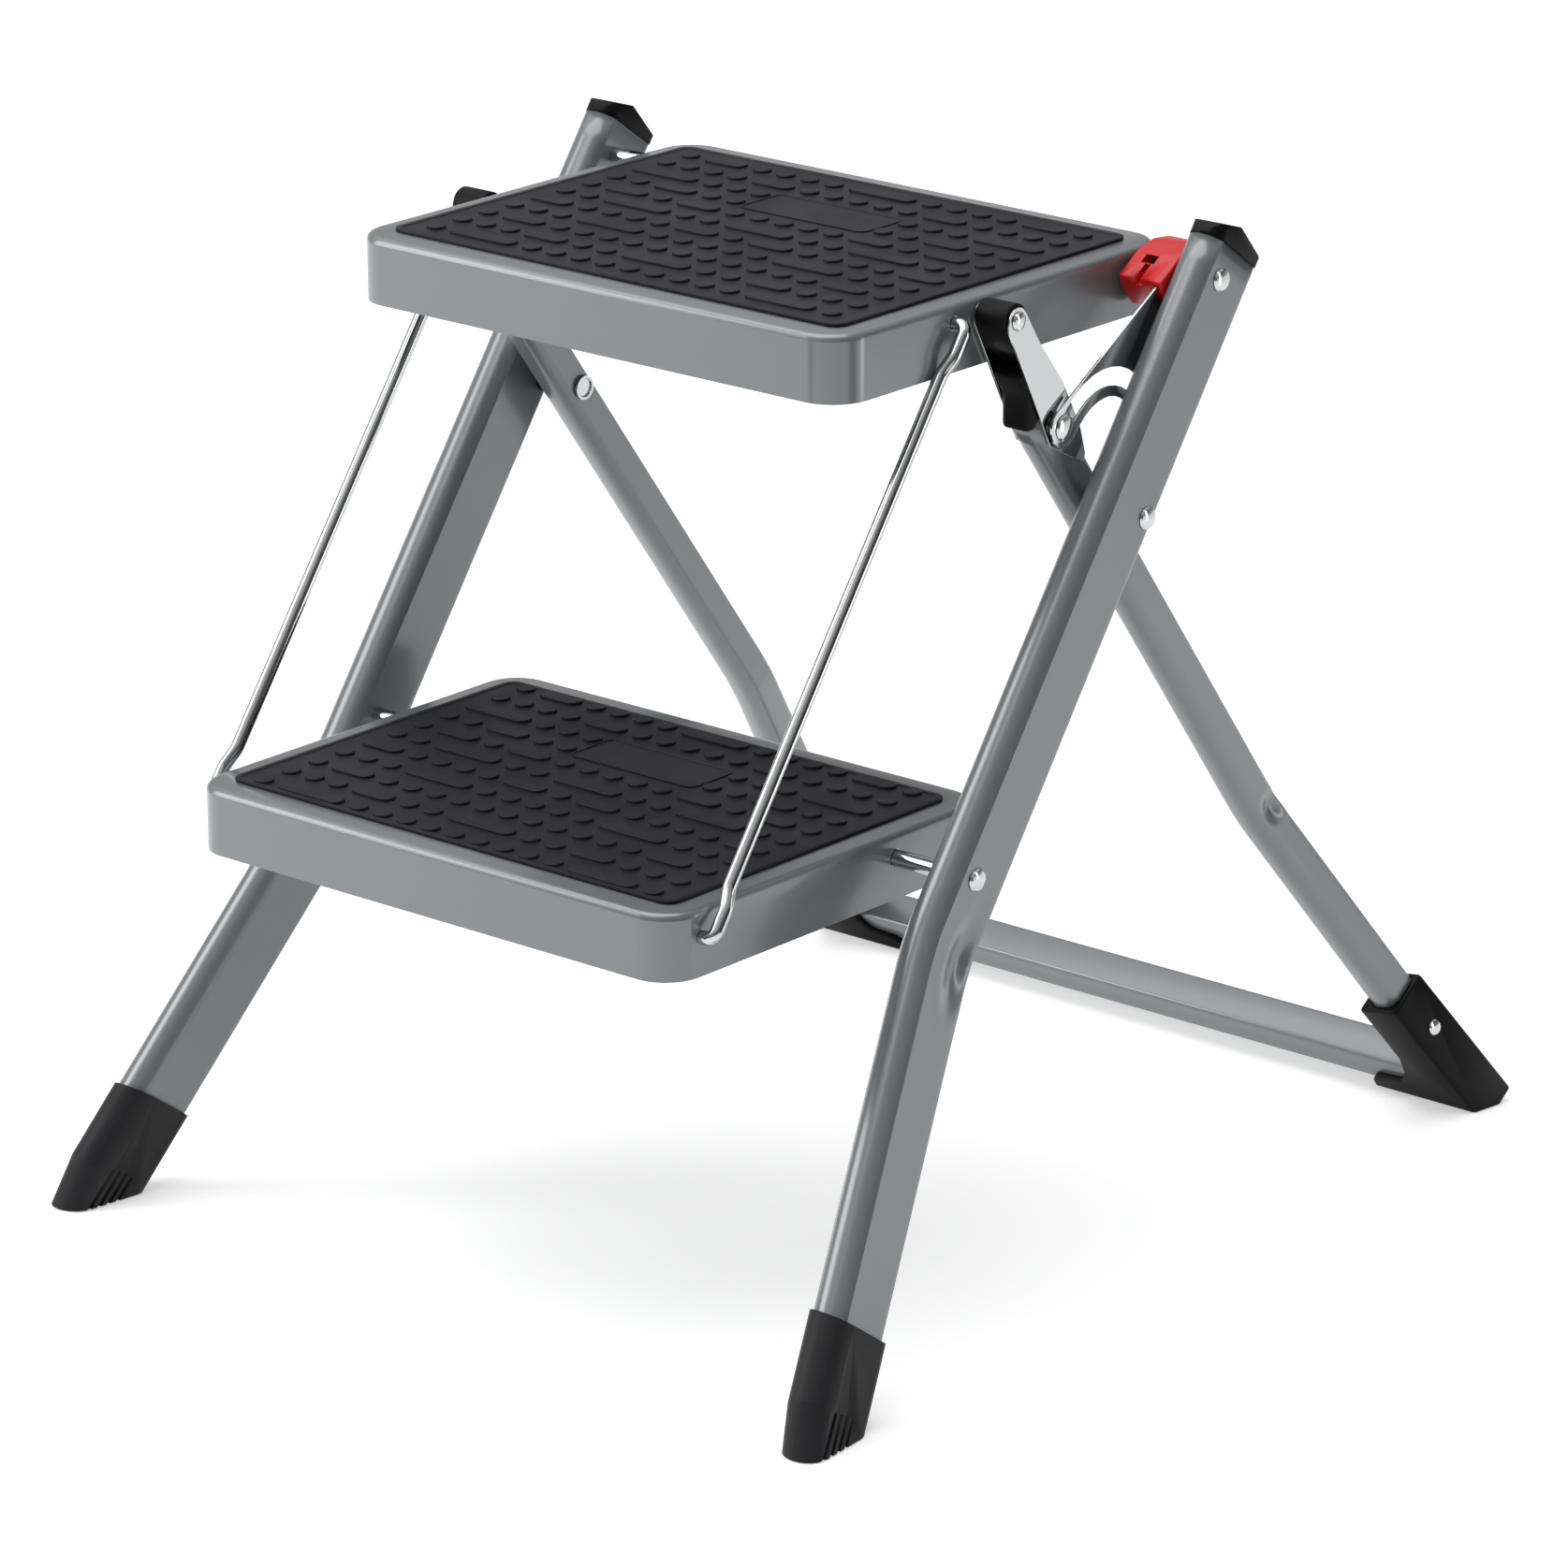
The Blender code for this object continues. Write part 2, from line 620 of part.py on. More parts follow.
def rear_cap(word, side):
    """Cap on a rear leg's top, wrapped round the tube's front, with a plug in the tube."""
    down = REAR_DOWN
    normal = Vector((-REAR_DOWN.y, REAR_DOWN.x))

    def spot(up, back):
        return CROSS - down * (REAR_ABOVE + up) + normal * back

    front = -REAR_AHEAD - REAR_CAP_PROUD
    knee_back = (KNEE - CROSS).dot(normal)
    upward = atan2(-down.y, -down.x) * 180.0 / pi
    first = upward - asin((REAR_BEHIND - knee_back) / REAR_CAP_R) * 180.0 / pi
    last = LINK_UP_DEG + asin(REAR_CAP_FRONT / REAR_CAP_R) * 180.0 / pi
    crown = arc(KNEE, REAR_CAP_R, first, last, 2)
    face = [crown[-1], arm_spot(ARM_LONG - REAR_CAP_SHOULDER, -REAR_CAP_FRONT), spot(REAR_CAP_RISE, front),
            spot(-REAR_CAP_SKIRT, front)]
    wrap = REAR_CAP_WRAP - REAR_AHEAD
    outline = [spot(GAP, REAR_BEHIND)] + crown[:-1] + face + [spot(-REAR_CAP_SKIRT, wrap), spot(GAP, wrap)]
    cap = side_plate("rear_cap_" + word, [outline], side * REAR_IN, side * REAR_OUT)
    round_edges(cap, face, REAR_CAP_ROUND)
    middle = REAR_IN + REAR_WIDTH / 2.0
    seat = swept(cap.name + "_seat", [rear_section(GAP)],
                 [(middle, -REAR_ABOVE - GAP / 2.0), (middle, -REAR_ABOVE + 2.0 * REAR_CAP_SKIRT)],
                 side, REAR_PLANE, cutters)
    boolean(cap, seat)
    plug = swept(cap.name + "_plug", [rear_section(-REAR_WALL - PLUG_CLEAR)],
                 [(middle, -REAR_ABOVE - PLUG_ROOT), (middle, -REAR_ABOVE + REAR_PLUG)],
                 side, REAR_PLANE, cutters)
    boolean(cap, plug, "UNION")
    finish(cap, BLACK)


def heel_edge(down, sign):
    """Outer (+1) or inner (-1) edge of a rear foot's sleeve at a distance below CROSS."""
    half = (REAR_WIDTH / 2.0 + HEEL_WALL) * sqrt(1.0 + REAR_SPLAY ** 2)
    flare = HEEL_FLARE * (down - HEEL_TOP) / (HEEL_LOW - HEEL_TOP) if sign > 0.0 else 0.0
    return rear_middle(down) + sign * half + flare


def heel_axis(side):
    """Matrix of the rivet through a rear foot's outer wall: local z points out of the wall."""
    slope = (heel_edge(HEEL_LOW, 1.0) - heel_edge(HEEL_TOP, 1.0)) / (HEEL_LOW - HEEL_TOP)
    lean = Matrix.Rotation(side * pi / 2.0, 4, "Y")
    tilt = Matrix.Rotation(-side * atan2(slope, 1.0), 4, "Z")
    depth = (REAR_BEHIND - REAR_AHEAD) / 2.0
    place = Matrix.Translation((side * heel_edge(HEEL_RIVET, 1.0), HEEL_RIVET, depth))
    return REAR_PLANE @ place @ tilt @ lean


def heel_bore(name, side):
    radius = HEEL_RIVET_R / 2.0 + GAP
    over = 2.0 * HEEL_RIVET_R
    profile = [(over, 0.0), (over, radius), (-over, radius), (-over, 0.0)]
    return turned(name + "_rivet_bore", profile, heel_axis(side), cutters, 16)


def rear_foot(word, side):
    """Corner foot that holds a rear leg and the bar, cut flat by the floor."""
    crotch = REAR_BAR - REAR_WIDTH / 2.0 - HEEL_NOTCH
    outline = [(heel_edge(HEEL_TOP, 1.0), HEEL_TOP), (heel_edge(HEEL_LOW, 1.0), HEEL_LOW),
               (HEEL_INNER, HEEL_LOW), (HEEL_INNER, REAR_BAR + HEEL_NOTCH),
               (HEEL_INNER + HEEL_TOE_STEP[0], REAR_BAR + HEEL_TOE_STEP[1]),
               (HEEL_INNER + HEEL_TOE_LONG, REAR_BAR),
               (heel_edge(crotch, -1.0) - HEEL_FILLET, crotch + HEEL_NOTCH),
               (heel_edge(crotch, -1.0), crotch - HEEL_NOTCH),
               (heel_edge(HEEL_TOP, -1.0), HEEL_TOP + HEEL_NOTCH)]
    points = [(side * x, down) for x, down in outline]
    foot = extruded("rear_foot_" + word, [points], -REAR_AHEAD - HEEL_WALL, REAR_BEHIND + HEEL_WALL, stool,
                    REAR_PLANE)
    bevel(foot, HEEL_EDGE)
    shaft = swept(foot.name + "_leg", [rear_section(2.0 * GAP)], rear_path(end=REAR_BAR), side, REAR_PLANE,
                  cutters)
    near = side * (HEEL_INNER - REAR_WIDTH)
    far = side * (bar_reach() + GAP)
    run = swept(foot.name + "_bar", [rear_section(GAP)], [(0.0, min(near, far)), (0.0, max(near, far))],
                1.0, bar_matrix(), cutters)
    boolean(foot, shaft)
    boolean(foot, run)
    boolean(foot, heel_bore(foot.name, side))
    boolean(foot, floor_cutter(foot.name))
    finish(foot, BLACK)


def heel_rivet(word, side):
    shank = HEEL_RIVET_R / 2.0
    profile = dome(GAP, HEEL_RIVET_RISE, HEEL_RIVET_R) + [(GAP, shank), (-HEEL_RIVET_LONG, shank),
                                                          (-HEEL_RIVET_LONG, 0.0)]
    finish(turned("foot_rivet_" + word, profile, heel_axis(side), sides=20), CHROME)


def knee_stud(word, side):
    """Stud that carries the link and, on the right side, runs in the slot of the stay."""
    inner = CHEEK_INNER[0] - GAP
    collar = CHEEK_OUTER[1] + GAP
    if side > 0.0:
        seat = STAY_X[1] + GAP
        profile = dome(seat, STUD_HEAD_RISE, STUD_HEAD_R) + [(seat, STUD_R), (STAY_X[0] - GAP, STUD_R),
                                                             (STAY_X[0] - GAP, STUD_COLLAR_R),
                                                             (collar, STUD_COLLAR_R)]
    else:
        profile = dome(collar, STUD_HEAD_RISE, STUD_HEAD_R)
    profile = profile + [(collar, STUD_R), (inner, STUD_R), (inner, 0.0)]
    finish(turned("knee_stud_" + word, profile, on_axis(KNEE, side)), CHROME)


def pan(name, at, ahead, behind, over, hook):
    """Pressed tread: a shallow tray, open below, placed from its rod."""
    front = at.x - ahead
    back = at.x + behind
    top = at.y + over
    bm = bmesh.new()
    bmesh.ops.create_cube(bm, size=1.0)
    bmesh.ops.scale(bm, vec=(2.0 * TREAD_HALF, back - front, SKIRT), verts=bm.verts)
    bmesh.ops.translate(bm, vec=(0.0, (front + back) / 2.0, top - SKIRT / 2.0), verts=bm.verts)
    upright = [e for e in bm.edges if abs(e.verts[0].co.z - e.verts[1].co.z) > SKIRT / 2.0]
    bmesh.ops.bevel(bm, geom=upright, offset=PAN_CORNER, segments=7, profile=0.5, affect="EDGES")
    rim = [e for e in bm.edges if min(v.co.z for v in e.verts) > top - GAP]
    bmesh.ops.bevel(bm, geom=rim, offset=PAN_EDGE, segments=3, profile=0.5, affect="EDGES")
    under = [f for f in bm.faces if max(v.co.z for v in f.verts) < top - SKIRT + GAP]
    bmesh.ops.delete(bm, geom=under, context="FACES")
    bmesh.ops.recalc_face_normals(bm, faces=bm.faces)
    roof = max(bm.faces, key=lambda f: f.calc_area())
    if roof.normal.z < 0.0:
        bmesh.ops.reverse_faces(bm, faces=bm.faces)
    tray = new_object(name, bm, stool)
    solidify(tray, PAN_SHEET)
    reach = TREAD_HALF + PAN_SHEET
    for spot, place, radius in (("rod", at, ROD_R), ("hook", hook, WIRE_R)):
        boolean(tray, bore(name + spot, place, radius + GAP, -reach, reach))
    finish(tray, SILVER)


def mat(name, at, ahead, behind, over):
    """Rubber plate on a tread."""
    half = TREAD_HALF - MAT_MARGIN
    low = at.x - ahead + MAT_END_MARGIN
    high = at.x + behind - MAT_END_MARGIN
    top = at.y + over
    r = MAT_CORNER
    loop = (arc(Vector((half - r, high - r)), r, 0.0, 90.0, 4)
            + arc(Vector((r - half, high - r)), r, 90.0, 180.0, 4)
            + arc(Vector((r - half, low + r)), r, 180.0, 270.0, 4)
            + arc(Vector((half - r, low + r)), r, 270.0, 360.0, 4))
    plate = extruded(name, [loop], top + GAP, top + GAP + MAT_THICK, stool)
    bevel(plate, MAT_EDGE)
    finish(plate, RUBBER)


def wire(word, side):
    """Wire between the treads, its ends turned inward through the skirts."""
    run = UPPER_HOOK - LOWER_HOOK
    length = run.length
    lane = TREAD_HALF + WIRE_STAND + WIRE_R
    deep = TREAD_HALF - PAN_SHEET - WIRE_INSIDE
    r = WIRE_BEND_R
    bend = [(lane - r + r * sin(a), r - r * cos(a)) for a in (radians(15.0 * i) for i in range(7))]
    route = [(deep, 0.0)] + bend
    route = route + [(x, length - d) for x, d in reversed(route)]
    data = bpy.data.curves.new("tread_wire_" + word, "CURVE")
    data.dimensions = "3D"
    data.bevel_depth = WIRE_R
    data.bevel_resolution = 2
    data.use_fill_caps = True
    spline = data.splines.new("POLY")
    spline.points.add(len(route) - 1)
    for point, (x, d) in zip(spline.points, route):
        at = LOWER_HOOK + run * (d / length)
        point.co = (side * x, at.x, at.y, 1.0)
    obj = bpy.data.objects.new("tread_wire_" + word, data)
    stool.objects.link(obj)
    finish(mesh_of(obj, stool), CHROME)


def link(word, side):
    """Link from the rear frame's stud to the upper tread: two cheeks, a pin and a sleeve between them."""
    crown = arc(ARM, CHEEK_END_R, LINK_UP_DEG - 90.0, LINK_UP_DEG + 90.0, 8)
    tail = [arm_spot(0.0, -CHEEK_FRONT), arm_spot(ARM_LONG + CHEEK_TOE, -CHEEK_FRONT)]
    tail = tail + [arm_spot(ARM_LONG + down, back) for down, back in CHEEK_TAIL] + [arm_spot(*CHEEK_WAIST)]
    outline = crown[:-1] + tail
    holes = [arc(ARM, PIN_R + GAP, 0.0, 340.0, 17), arc(KNEE, STUD_R + GAP, 0.0, 340.0, 17)]
    for place, lane in (("inner", CHEEK_INNER), ("outer", CHEEK_OUTER)):
        cheek = side_plate("link_%s_%s" % (place, word), [outline] + holes, side * lane[0], side * lane[1])
        finish(cheek, CHROME)
    collar = CHEEK_OUTER[1] + GAP
    inner = CHEEK_INNER[0] - GAP
    profile = dome(collar, PIN_HEAD_RISE, PIN_HEAD_R) + [(collar, PIN_R), (inner, PIN_R), (inner, 0.0)]
    finish(turned("link_pin_" + word, profile, on_axis(ARM, side)), CHROME)
    high, brow = SLEEVE_BROW
    lip = REAR_CAP_R + 1.5 * GAP
    front = LINK_UP_DEG + asin(SLEEVE_CHIN / lip) * 180.0 / pi
    back = LINK_UP_DEG - asin(SLEEVE_BACK / lip) * 180.0 / pi
    shell = arc(ARM, SLEEVE_R, LINK_UP_DEG - 90.0, LINK_UP_DEG + 90.0, 12)
    loop = shell + [arm_spot(ARM_LONG - high, -brow)] + arc(KNEE, lip, front, back, 5)
    sleeve = side_plate("link_sleeve_" + word, [loop, arc(ARM, PIN_R + GAP, 0.0, 340.0, 17)],
                        side * REAR_IN, side * REAR_OUT)
    bevel(sleeve, SLEEVE_EDGE)
    finish(sleeve, BLACK)


def turned_about(point, center, degrees):
    a = radians(degrees)
    d = point - center
    return center + Vector((d.x * cos(a) - d.y * sin(a), d.x * sin(a) + d.y * cos(a)))


def slot_line(steps=10):
    """Where the stud of the rear frame lies on the stay while the stool folds."""
    line = []
    for i in range(steps + 1):
        share = i / steps
        stud = turned_about(KNEE, CROSS, -FOLD_DEG * share)
        line.append(turned_about(stud, TOP, -STAY_DEG * share))
    return line


def beside(line, offset):
    """The same line moved sideways by an offset, to its left for positive offsets."""
    moved = []
    for i, point in enumerate(line):
        run = (line[min(i + 1, len(line) - 1)] - line[max(i - 1, 0)]).normalized()
        moved.append(point + Vector((-run.y, run.x)) * offset)
    return moved


def heading(start, end):
    return atan2((end - start).y, (end - start).x) * 180.0 / pi


def stay():
    """Chrome plate that turns on the top rod; the stud of the right rear leg slides in its slot."""
    line = slot_line()
    half = STUD_R + GAP
    rim = half + STAY_RIM
    first = heading(line[0], line[1])
    last = heading(line[-2], line[-1])
    slot = (beside(line, -half)[:-1] + arc(line[-1], half, last - 90.0, last + 90.0, 8)[:-1]
            + beside(line, half)[::-1][:-1] + arc(line[0], half, first + 90.0, first + 270.0, 8)[:-1])
    reach = heading(TOP, KNEE)
    spread = acos((rim - STAY_EYE_R) / (KNEE - TOP).length) * 180.0 / pi
    left = reach - spread + 360.0
    foot_end = arc(KNEE, rim, left, first + 270.0, 10)
    lower = beside(line, -rim)[1:-1]
    bulge = arc(line[-1], rim, last - 90.0, last + 40.0, 6)
    eye = arc(TOP, STAY_EYE_R, heading(TOP, line[-1]) + 90.0, left, 12)
    outline = foot_end + lower + bulge + eye
    plate = side_plate("stay_plate", [outline, slot, arc(TOP, ROD_R + GAP, 0.0, 340.0, 17)], *STAY_X)
    finish(plate, CHROME)


def catch():
    """Red catch on the top rod, with a lane for the stay and a hooked window that bares the rod."""
    outline = [TOP + Vector(corner) for corner in CATCH_CORNERS]
    rod_hole = arc(TOP, ROD_R + GAP, 0.0, 340.0, 17)
    block = side_plate("catch", [outline, rod_hole], REAR_IN + GAP, FRONT_IN - GAP)
    bevel(block, CATCH_EDGE)
    left = heading(TOP, KNEE) - 90.0
    right = heading(TOP, slot_line()[-1]) + 90.0 + STAY_DEG + CATCH_DEG
    lane = arc(TOP, STAY_EYE_R + CATCH_CLEAR, right, left + 360.0, 12)
    reach = (KNEE - TOP).length
    lane.append(lane[-1] + turned_about(Vector((reach, 0.0)), Vector((0.0, 0.0)), left + 90.0))
    lane.append(lane[0] + turned_about(Vector((reach, 0.0)), Vector((0.0, 0.0)), right - 90.0))
    boolean(block, side_plate("catch_lane", [lane], STAY_X[0] - GAP, STAY_X[1] + GAP, cutters))
    for name, corners, limits in (("catch_window", CATCH_WINDOW, CATCH_WINDOW_X),
                                  ("catch_hook", CATCH_HOOK, CATCH_HOOK_X)):
        loop = [TOP + Vector(corner) for corner in corners]
        boolean(block, side_plate(name, [loop], REAR_IN + limits[0], REAR_IN + limits[1], cutters))
    finish(block, RED)


for word, side in SIDES:
    front_leg(word, side)
    front_cap(word, side)
    front_foot(word, side)
    cross_pivot(word, side)
    rear_leg(word, side)
    rear_cap(word, side)
    rear_foot(word, side)
    heel_rivet(word, side)
    knee_stud(word, side)
    wire(word, side)
    link(word, side)
cross_rod("top_rod", TOP)
cross_rod("lower_rod", LOW)
rear_bar()
pan("top_tread", TOP, TREAD_AHEAD, TREAD_BEHIND, TREAD_OVER_ROD, UPPER_HOOK)
mat("top_mat", TOP, TREAD_AHEAD, TREAD_BEHIND, TREAD_OVER_ROD)
pan("lower_tread", LOW, LOW_TREAD_AHEAD, LOW_TREAD_BEHIND, LOW_TREAD_OVER_ROD, LOWER_HOOK)
mat("lower_mat", LOW, LOW_TREAD_AHEAD, LOW_TREAD_BEHIND, LOW_TREAD_OVER_ROD)
stay()
catch()


def empty(name, at, x=0.0):
    obj = bpy.data.objects.new(name, None)
    obj.location = (x, at.x, at.y)
    stool.objects.link(obj)
    bpy.context.view_layer.update()
    return obj


def carry(parent, children):
    """Hangs objects on a parent without moving them, each piece with its cutters."""
    for child in children:
        for modifier in child.modifiers:
            if modifier.type == "BOOLEAN":
                carry(parent, [modifier.object])
        child.parent = parent
        child.matrix_parent_inverse = parent.matrix_world.inverted()


def pieces(*beginnings):
    return [o for o in stool.objects if o.type == "MESH" and o.name.startswith(beginnings)]


def depth_limits(objects):
    """The least and the greatest Y of the finished pieces."""
    graph = bpy.context.evaluated_depsgraph_get()
    found = []
    for obj in objects:
        solid = obj.evaluated_get(graph)
        found.extend((solid.matrix_world @ v.co).y for v in solid.data.vertices)
    return min(found), max(found)


# Every moving group hangs on an empty on its joint's axis
rear_axis = empty("rear_frame_axis", CROSS)
upper_axis = empty("top_step_axis", TOP)
lower_axis = empty("lower_step_axis", LOW)
stay_axis = empty("stay_axis", TOP)
catch_axis = empty("catch_axis", TOP)
carry(rear_axis, pieces("rear_", "foot_rivet", "knee_stud"))
carry(upper_axis, pieces("top_tread", "top_mat"))
carry(lower_axis, pieces("lower_tread", "lower_mat"))
carry(stay_axis, pieces("stay_plate"))
carry(catch_axis, pieces("catch"))
for word, side in SIDES:
    wire_axis = empty("wire_axis_" + word, UPPER_HOOK, side * TREAD_HALF)
    carry(wire_axis, pieces("tread_wire_" + word))
    carry(upper_axis, [wire_axis])
    link_axis = empty("link_axis_" + word, KNEE, side * REAR_OUT)
    carry(link_axis, [o for o in pieces("link_") if o.name.endswith(word)])
    carry(rear_axis, [link_axis])

# The front frame carries the rest, and the whole is centred over the origin
middle = sum(depth_limits(pieces(""))) / 2.0
root = empty("stool_root", Vector((0.0, 0.0)))
carry(root, [rear_axis, upper_axis, lower_axis, stay_axis, catch_axis])
carry(root, pieces("front_", "top_rod", "lower_rod", "cross_"))
root.location.y = -middle
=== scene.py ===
# %% [markdown]
# # A folding two-step stool, dressed for its picture
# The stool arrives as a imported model: every rod, rivet and tube has its true size and its place. This
# lesson keeps those places and gives each piece the surface that the real one has. Everything is in
# metres, +X is the side with the red catch, and the stool faces -Y.

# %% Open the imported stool
import bpy
import bmesh
import json
from math import atan2, copysign, cos, degrees, exp, pi, radians, sin
from mathutils import Matrix, Vector


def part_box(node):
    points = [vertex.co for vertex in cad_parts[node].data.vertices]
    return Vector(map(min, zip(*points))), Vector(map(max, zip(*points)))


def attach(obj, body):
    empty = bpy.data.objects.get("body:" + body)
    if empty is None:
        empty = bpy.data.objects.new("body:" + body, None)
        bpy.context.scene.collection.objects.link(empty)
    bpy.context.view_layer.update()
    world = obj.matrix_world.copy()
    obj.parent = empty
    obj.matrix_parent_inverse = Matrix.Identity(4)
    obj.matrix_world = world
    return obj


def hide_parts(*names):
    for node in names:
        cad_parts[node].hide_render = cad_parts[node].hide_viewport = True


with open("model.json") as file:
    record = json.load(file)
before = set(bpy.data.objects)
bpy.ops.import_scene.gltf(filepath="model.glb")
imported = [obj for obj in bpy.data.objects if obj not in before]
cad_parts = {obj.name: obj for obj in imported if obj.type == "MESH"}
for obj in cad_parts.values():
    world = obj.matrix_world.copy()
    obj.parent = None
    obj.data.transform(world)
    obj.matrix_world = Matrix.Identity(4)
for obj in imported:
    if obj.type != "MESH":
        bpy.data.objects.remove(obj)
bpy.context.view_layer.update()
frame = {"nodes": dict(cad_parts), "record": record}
behaviour = frame["record"]["behaviour"]

# %% [markdown]
# The joints of the stool are its best rulers: both treads, the rear frame and the wires turn on axes
# whose places are in the record, so the tubes below are measured from those axes.

# %% Axes of the joints
axis_at = {joint["name"]: Vector(joint["pos_m"]) for joint in behaviour["joints"]}
UPPER_ROD = axis_at["top_step_tilt"]
LOWER_ROD = axis_at["lower_step_tilt"]
CROSSING = axis_at["rear_fold"]
carrier_of = {node: body for body, nodes in behaviour["bodies"].items() for node in nodes}
slot_of = {part["node"]: part["material_slot"] for part in frame["record"]["subparts"]}
REAR_PITCH = radians(53.3)
front_down = Vector((0.0, LOWER_ROD.y - UPPER_ROD.y, LOWER_ROD.z - UPPER_ROD.z)).normalized()
rear_down = Vector((0.0, cos(REAR_PITCH), -sin(REAR_PITCH)))
print("upper rod at", [round(v, 4) for v in UPPER_ROD], "crossing at", [round(v, 4) for v in CROSSING])

# %% [markdown]
# ## The camera
# The photograph was taken from the front right and a little above, with a long lens. A long lens keeps
# upright lines nearly parallel, so the camera stands about three and a half metres away.

# %% Place the camera
VIEW_AZIMUTH = radians(40.576)
VIEW_ELEVATION = radians(18.585)
VIEW_ROLL = radians(-0.153)
CAMERA_PLACE = Vector((2.1801, -2.5644, 1.3216))
FOCAL_SHARE = 7998.8 / 1675.0
SENSOR = 36.0


def looking_frame(azimuth, elevation, roll):
    """Camera axes: right, up and the direction from the stool to the camera."""
    back = Vector((sin(azimuth) * cos(elevation), -cos(azimuth) * cos(elevation), sin(elevation)))
    level = Vector((cos(azimuth), sin(azimuth), 0.0))
    rise = back.cross(level)
    right = level * cos(roll) + rise * sin(roll)
    up = rise * cos(roll) - level * sin(roll)
    return right, up, back


right, up, back = looking_frame(VIEW_AZIMUTH, VIEW_ELEVATION, VIEW_ROLL)
lens = bpy.data.cameras.new("studio_camera")
lens.sensor_width = SENSOR
lens.sensor_fit = "HORIZONTAL"
lens.lens = FOCAL_SHARE * SENSOR
lens.clip_end = 50.0
camera = bpy.data.objects.new("studio_camera", lens)
turn = Matrix((right, up, back)).transposed().to_4x4()
camera.matrix_world = Matrix.Translation(CAMERA_PLACE) @ turn
bpy.context.scene.collection.objects.link(camera)
bpy.context.scene.camera = camera
print("lens", round(lens.lens, 1), "mm")

# %% [markdown]
# ## Shared surface effects
# Three effects come back in several finishes, so each is a node group with named sockets. Fine grain is
# a small bump; haze is a slow change of gloss, as fingers and cleaning leave; scuffs are faint marks
# that lighten the colour a little. A group hands out only values, colours and normals.

# %% Helpers for node trees
def node(tree, kind, place, **settings):
    made = tree.nodes.new(kind)
    made.location = place
    for name, value in settings.items():
        setattr(made, name, value)
    return made


def fill(made, **values):
    for name, value in values.items():
        made.inputs[name.replace("_", " ")].default_value = value
    return made


def open_group(name, inputs, outputs):
    tree = bpy.data.node_groups.new(name, "ShaderNodeTree")
    for label, kind, value in inputs:
        socket = tree.interface.new_socket(label, in_out="INPUT", socket_type=kind)
        if value is not None:
            socket.default_value = value
    for label, kind in outputs:
        tree.interface.new_socket(label, in_out="OUTPUT", socket_type=kind)
    return tree, node(tree, "NodeGroupInput", (-700, 0)), node(tree, "NodeGroupOutput", (500, 0))


# %% Fine grain
def build_grain():
    """A small bump from noise: moulded plastic, rubber skin or the orange peel of sprayed enamel."""
    inputs = (("Vector", "NodeSocketVector", None), ("Scale", "NodeSocketFloat", 600.0),
              ("Depth", "NodeSocketFloat", 0.0001), ("Strength", "NodeSocketFloat", 0.3))
    tree, start, end = open_group("fine_grain", inputs, (("Normal", "NodeSocketVector"),))
    noise = fill(node(tree, "ShaderNodeTexNoise", (-400, 0)), Detail=3.0, Roughness=0.55)
    bump = node(tree, "ShaderNodeBump", (100, 0))
    tree.links.new(start.outputs["Vector"], noise.inputs["Vector"])
    tree.links.new(start.outputs["Scale"], noise.inputs["Scale"])
    tree.links.new(noise.outputs["Fac"], bump.inputs["Height"])
    tree.links.new(start.outputs["Depth"], bump.inputs["Distance"])
    tree.links.new(start.outputs["Strength"], bump.inputs["Strength"])
    tree.links.new(bump.outputs["Normal"], end.inputs["Normal"])
    return tree


# %% Haze and scuffs
def build_haze():
    """Slow changes of gloss over a surface, between a least and a greatest roughness."""
    inputs = (("Vector", "NodeSocketVector", None), ("Scale", "NodeSocketFloat", 14.0),
              ("Least", "NodeSocketFloat", 0.25), ("Greatest", "NodeSocketFloat", 0.4))
    tree, start, end = open_group("gloss_haze", inputs, (("Roughness", "NodeSocketFloat"),))
    noise = fill(node(tree, "ShaderNodeTexNoise", (-400, 0)), Detail=2.0, Roughness=0.5)
    spread = node(tree, "ShaderNodeMapRange", (100, 0), interpolation_type="SMOOTHERSTEP")
    spread.inputs["From Min"].default_value = 0.3
    spread.inputs["From Max"].default_value = 0.7
    tree.links.new(start.outputs["Vector"], noise.inputs["Vector"])
    tree.links.new(start.outputs["Scale"], noise.inputs["Scale"])
    tree.links.new(noise.outputs["Fac"], spread.inputs["Value"])
    tree.links.new(start.outputs["Least"], spread.inputs["To Min"])
    tree.links.new(start.outputs["Greatest"], spread.inputs["To Max"])
    tree.links.new(spread.outputs["Result"], end.inputs["Roughness"])
    return tree


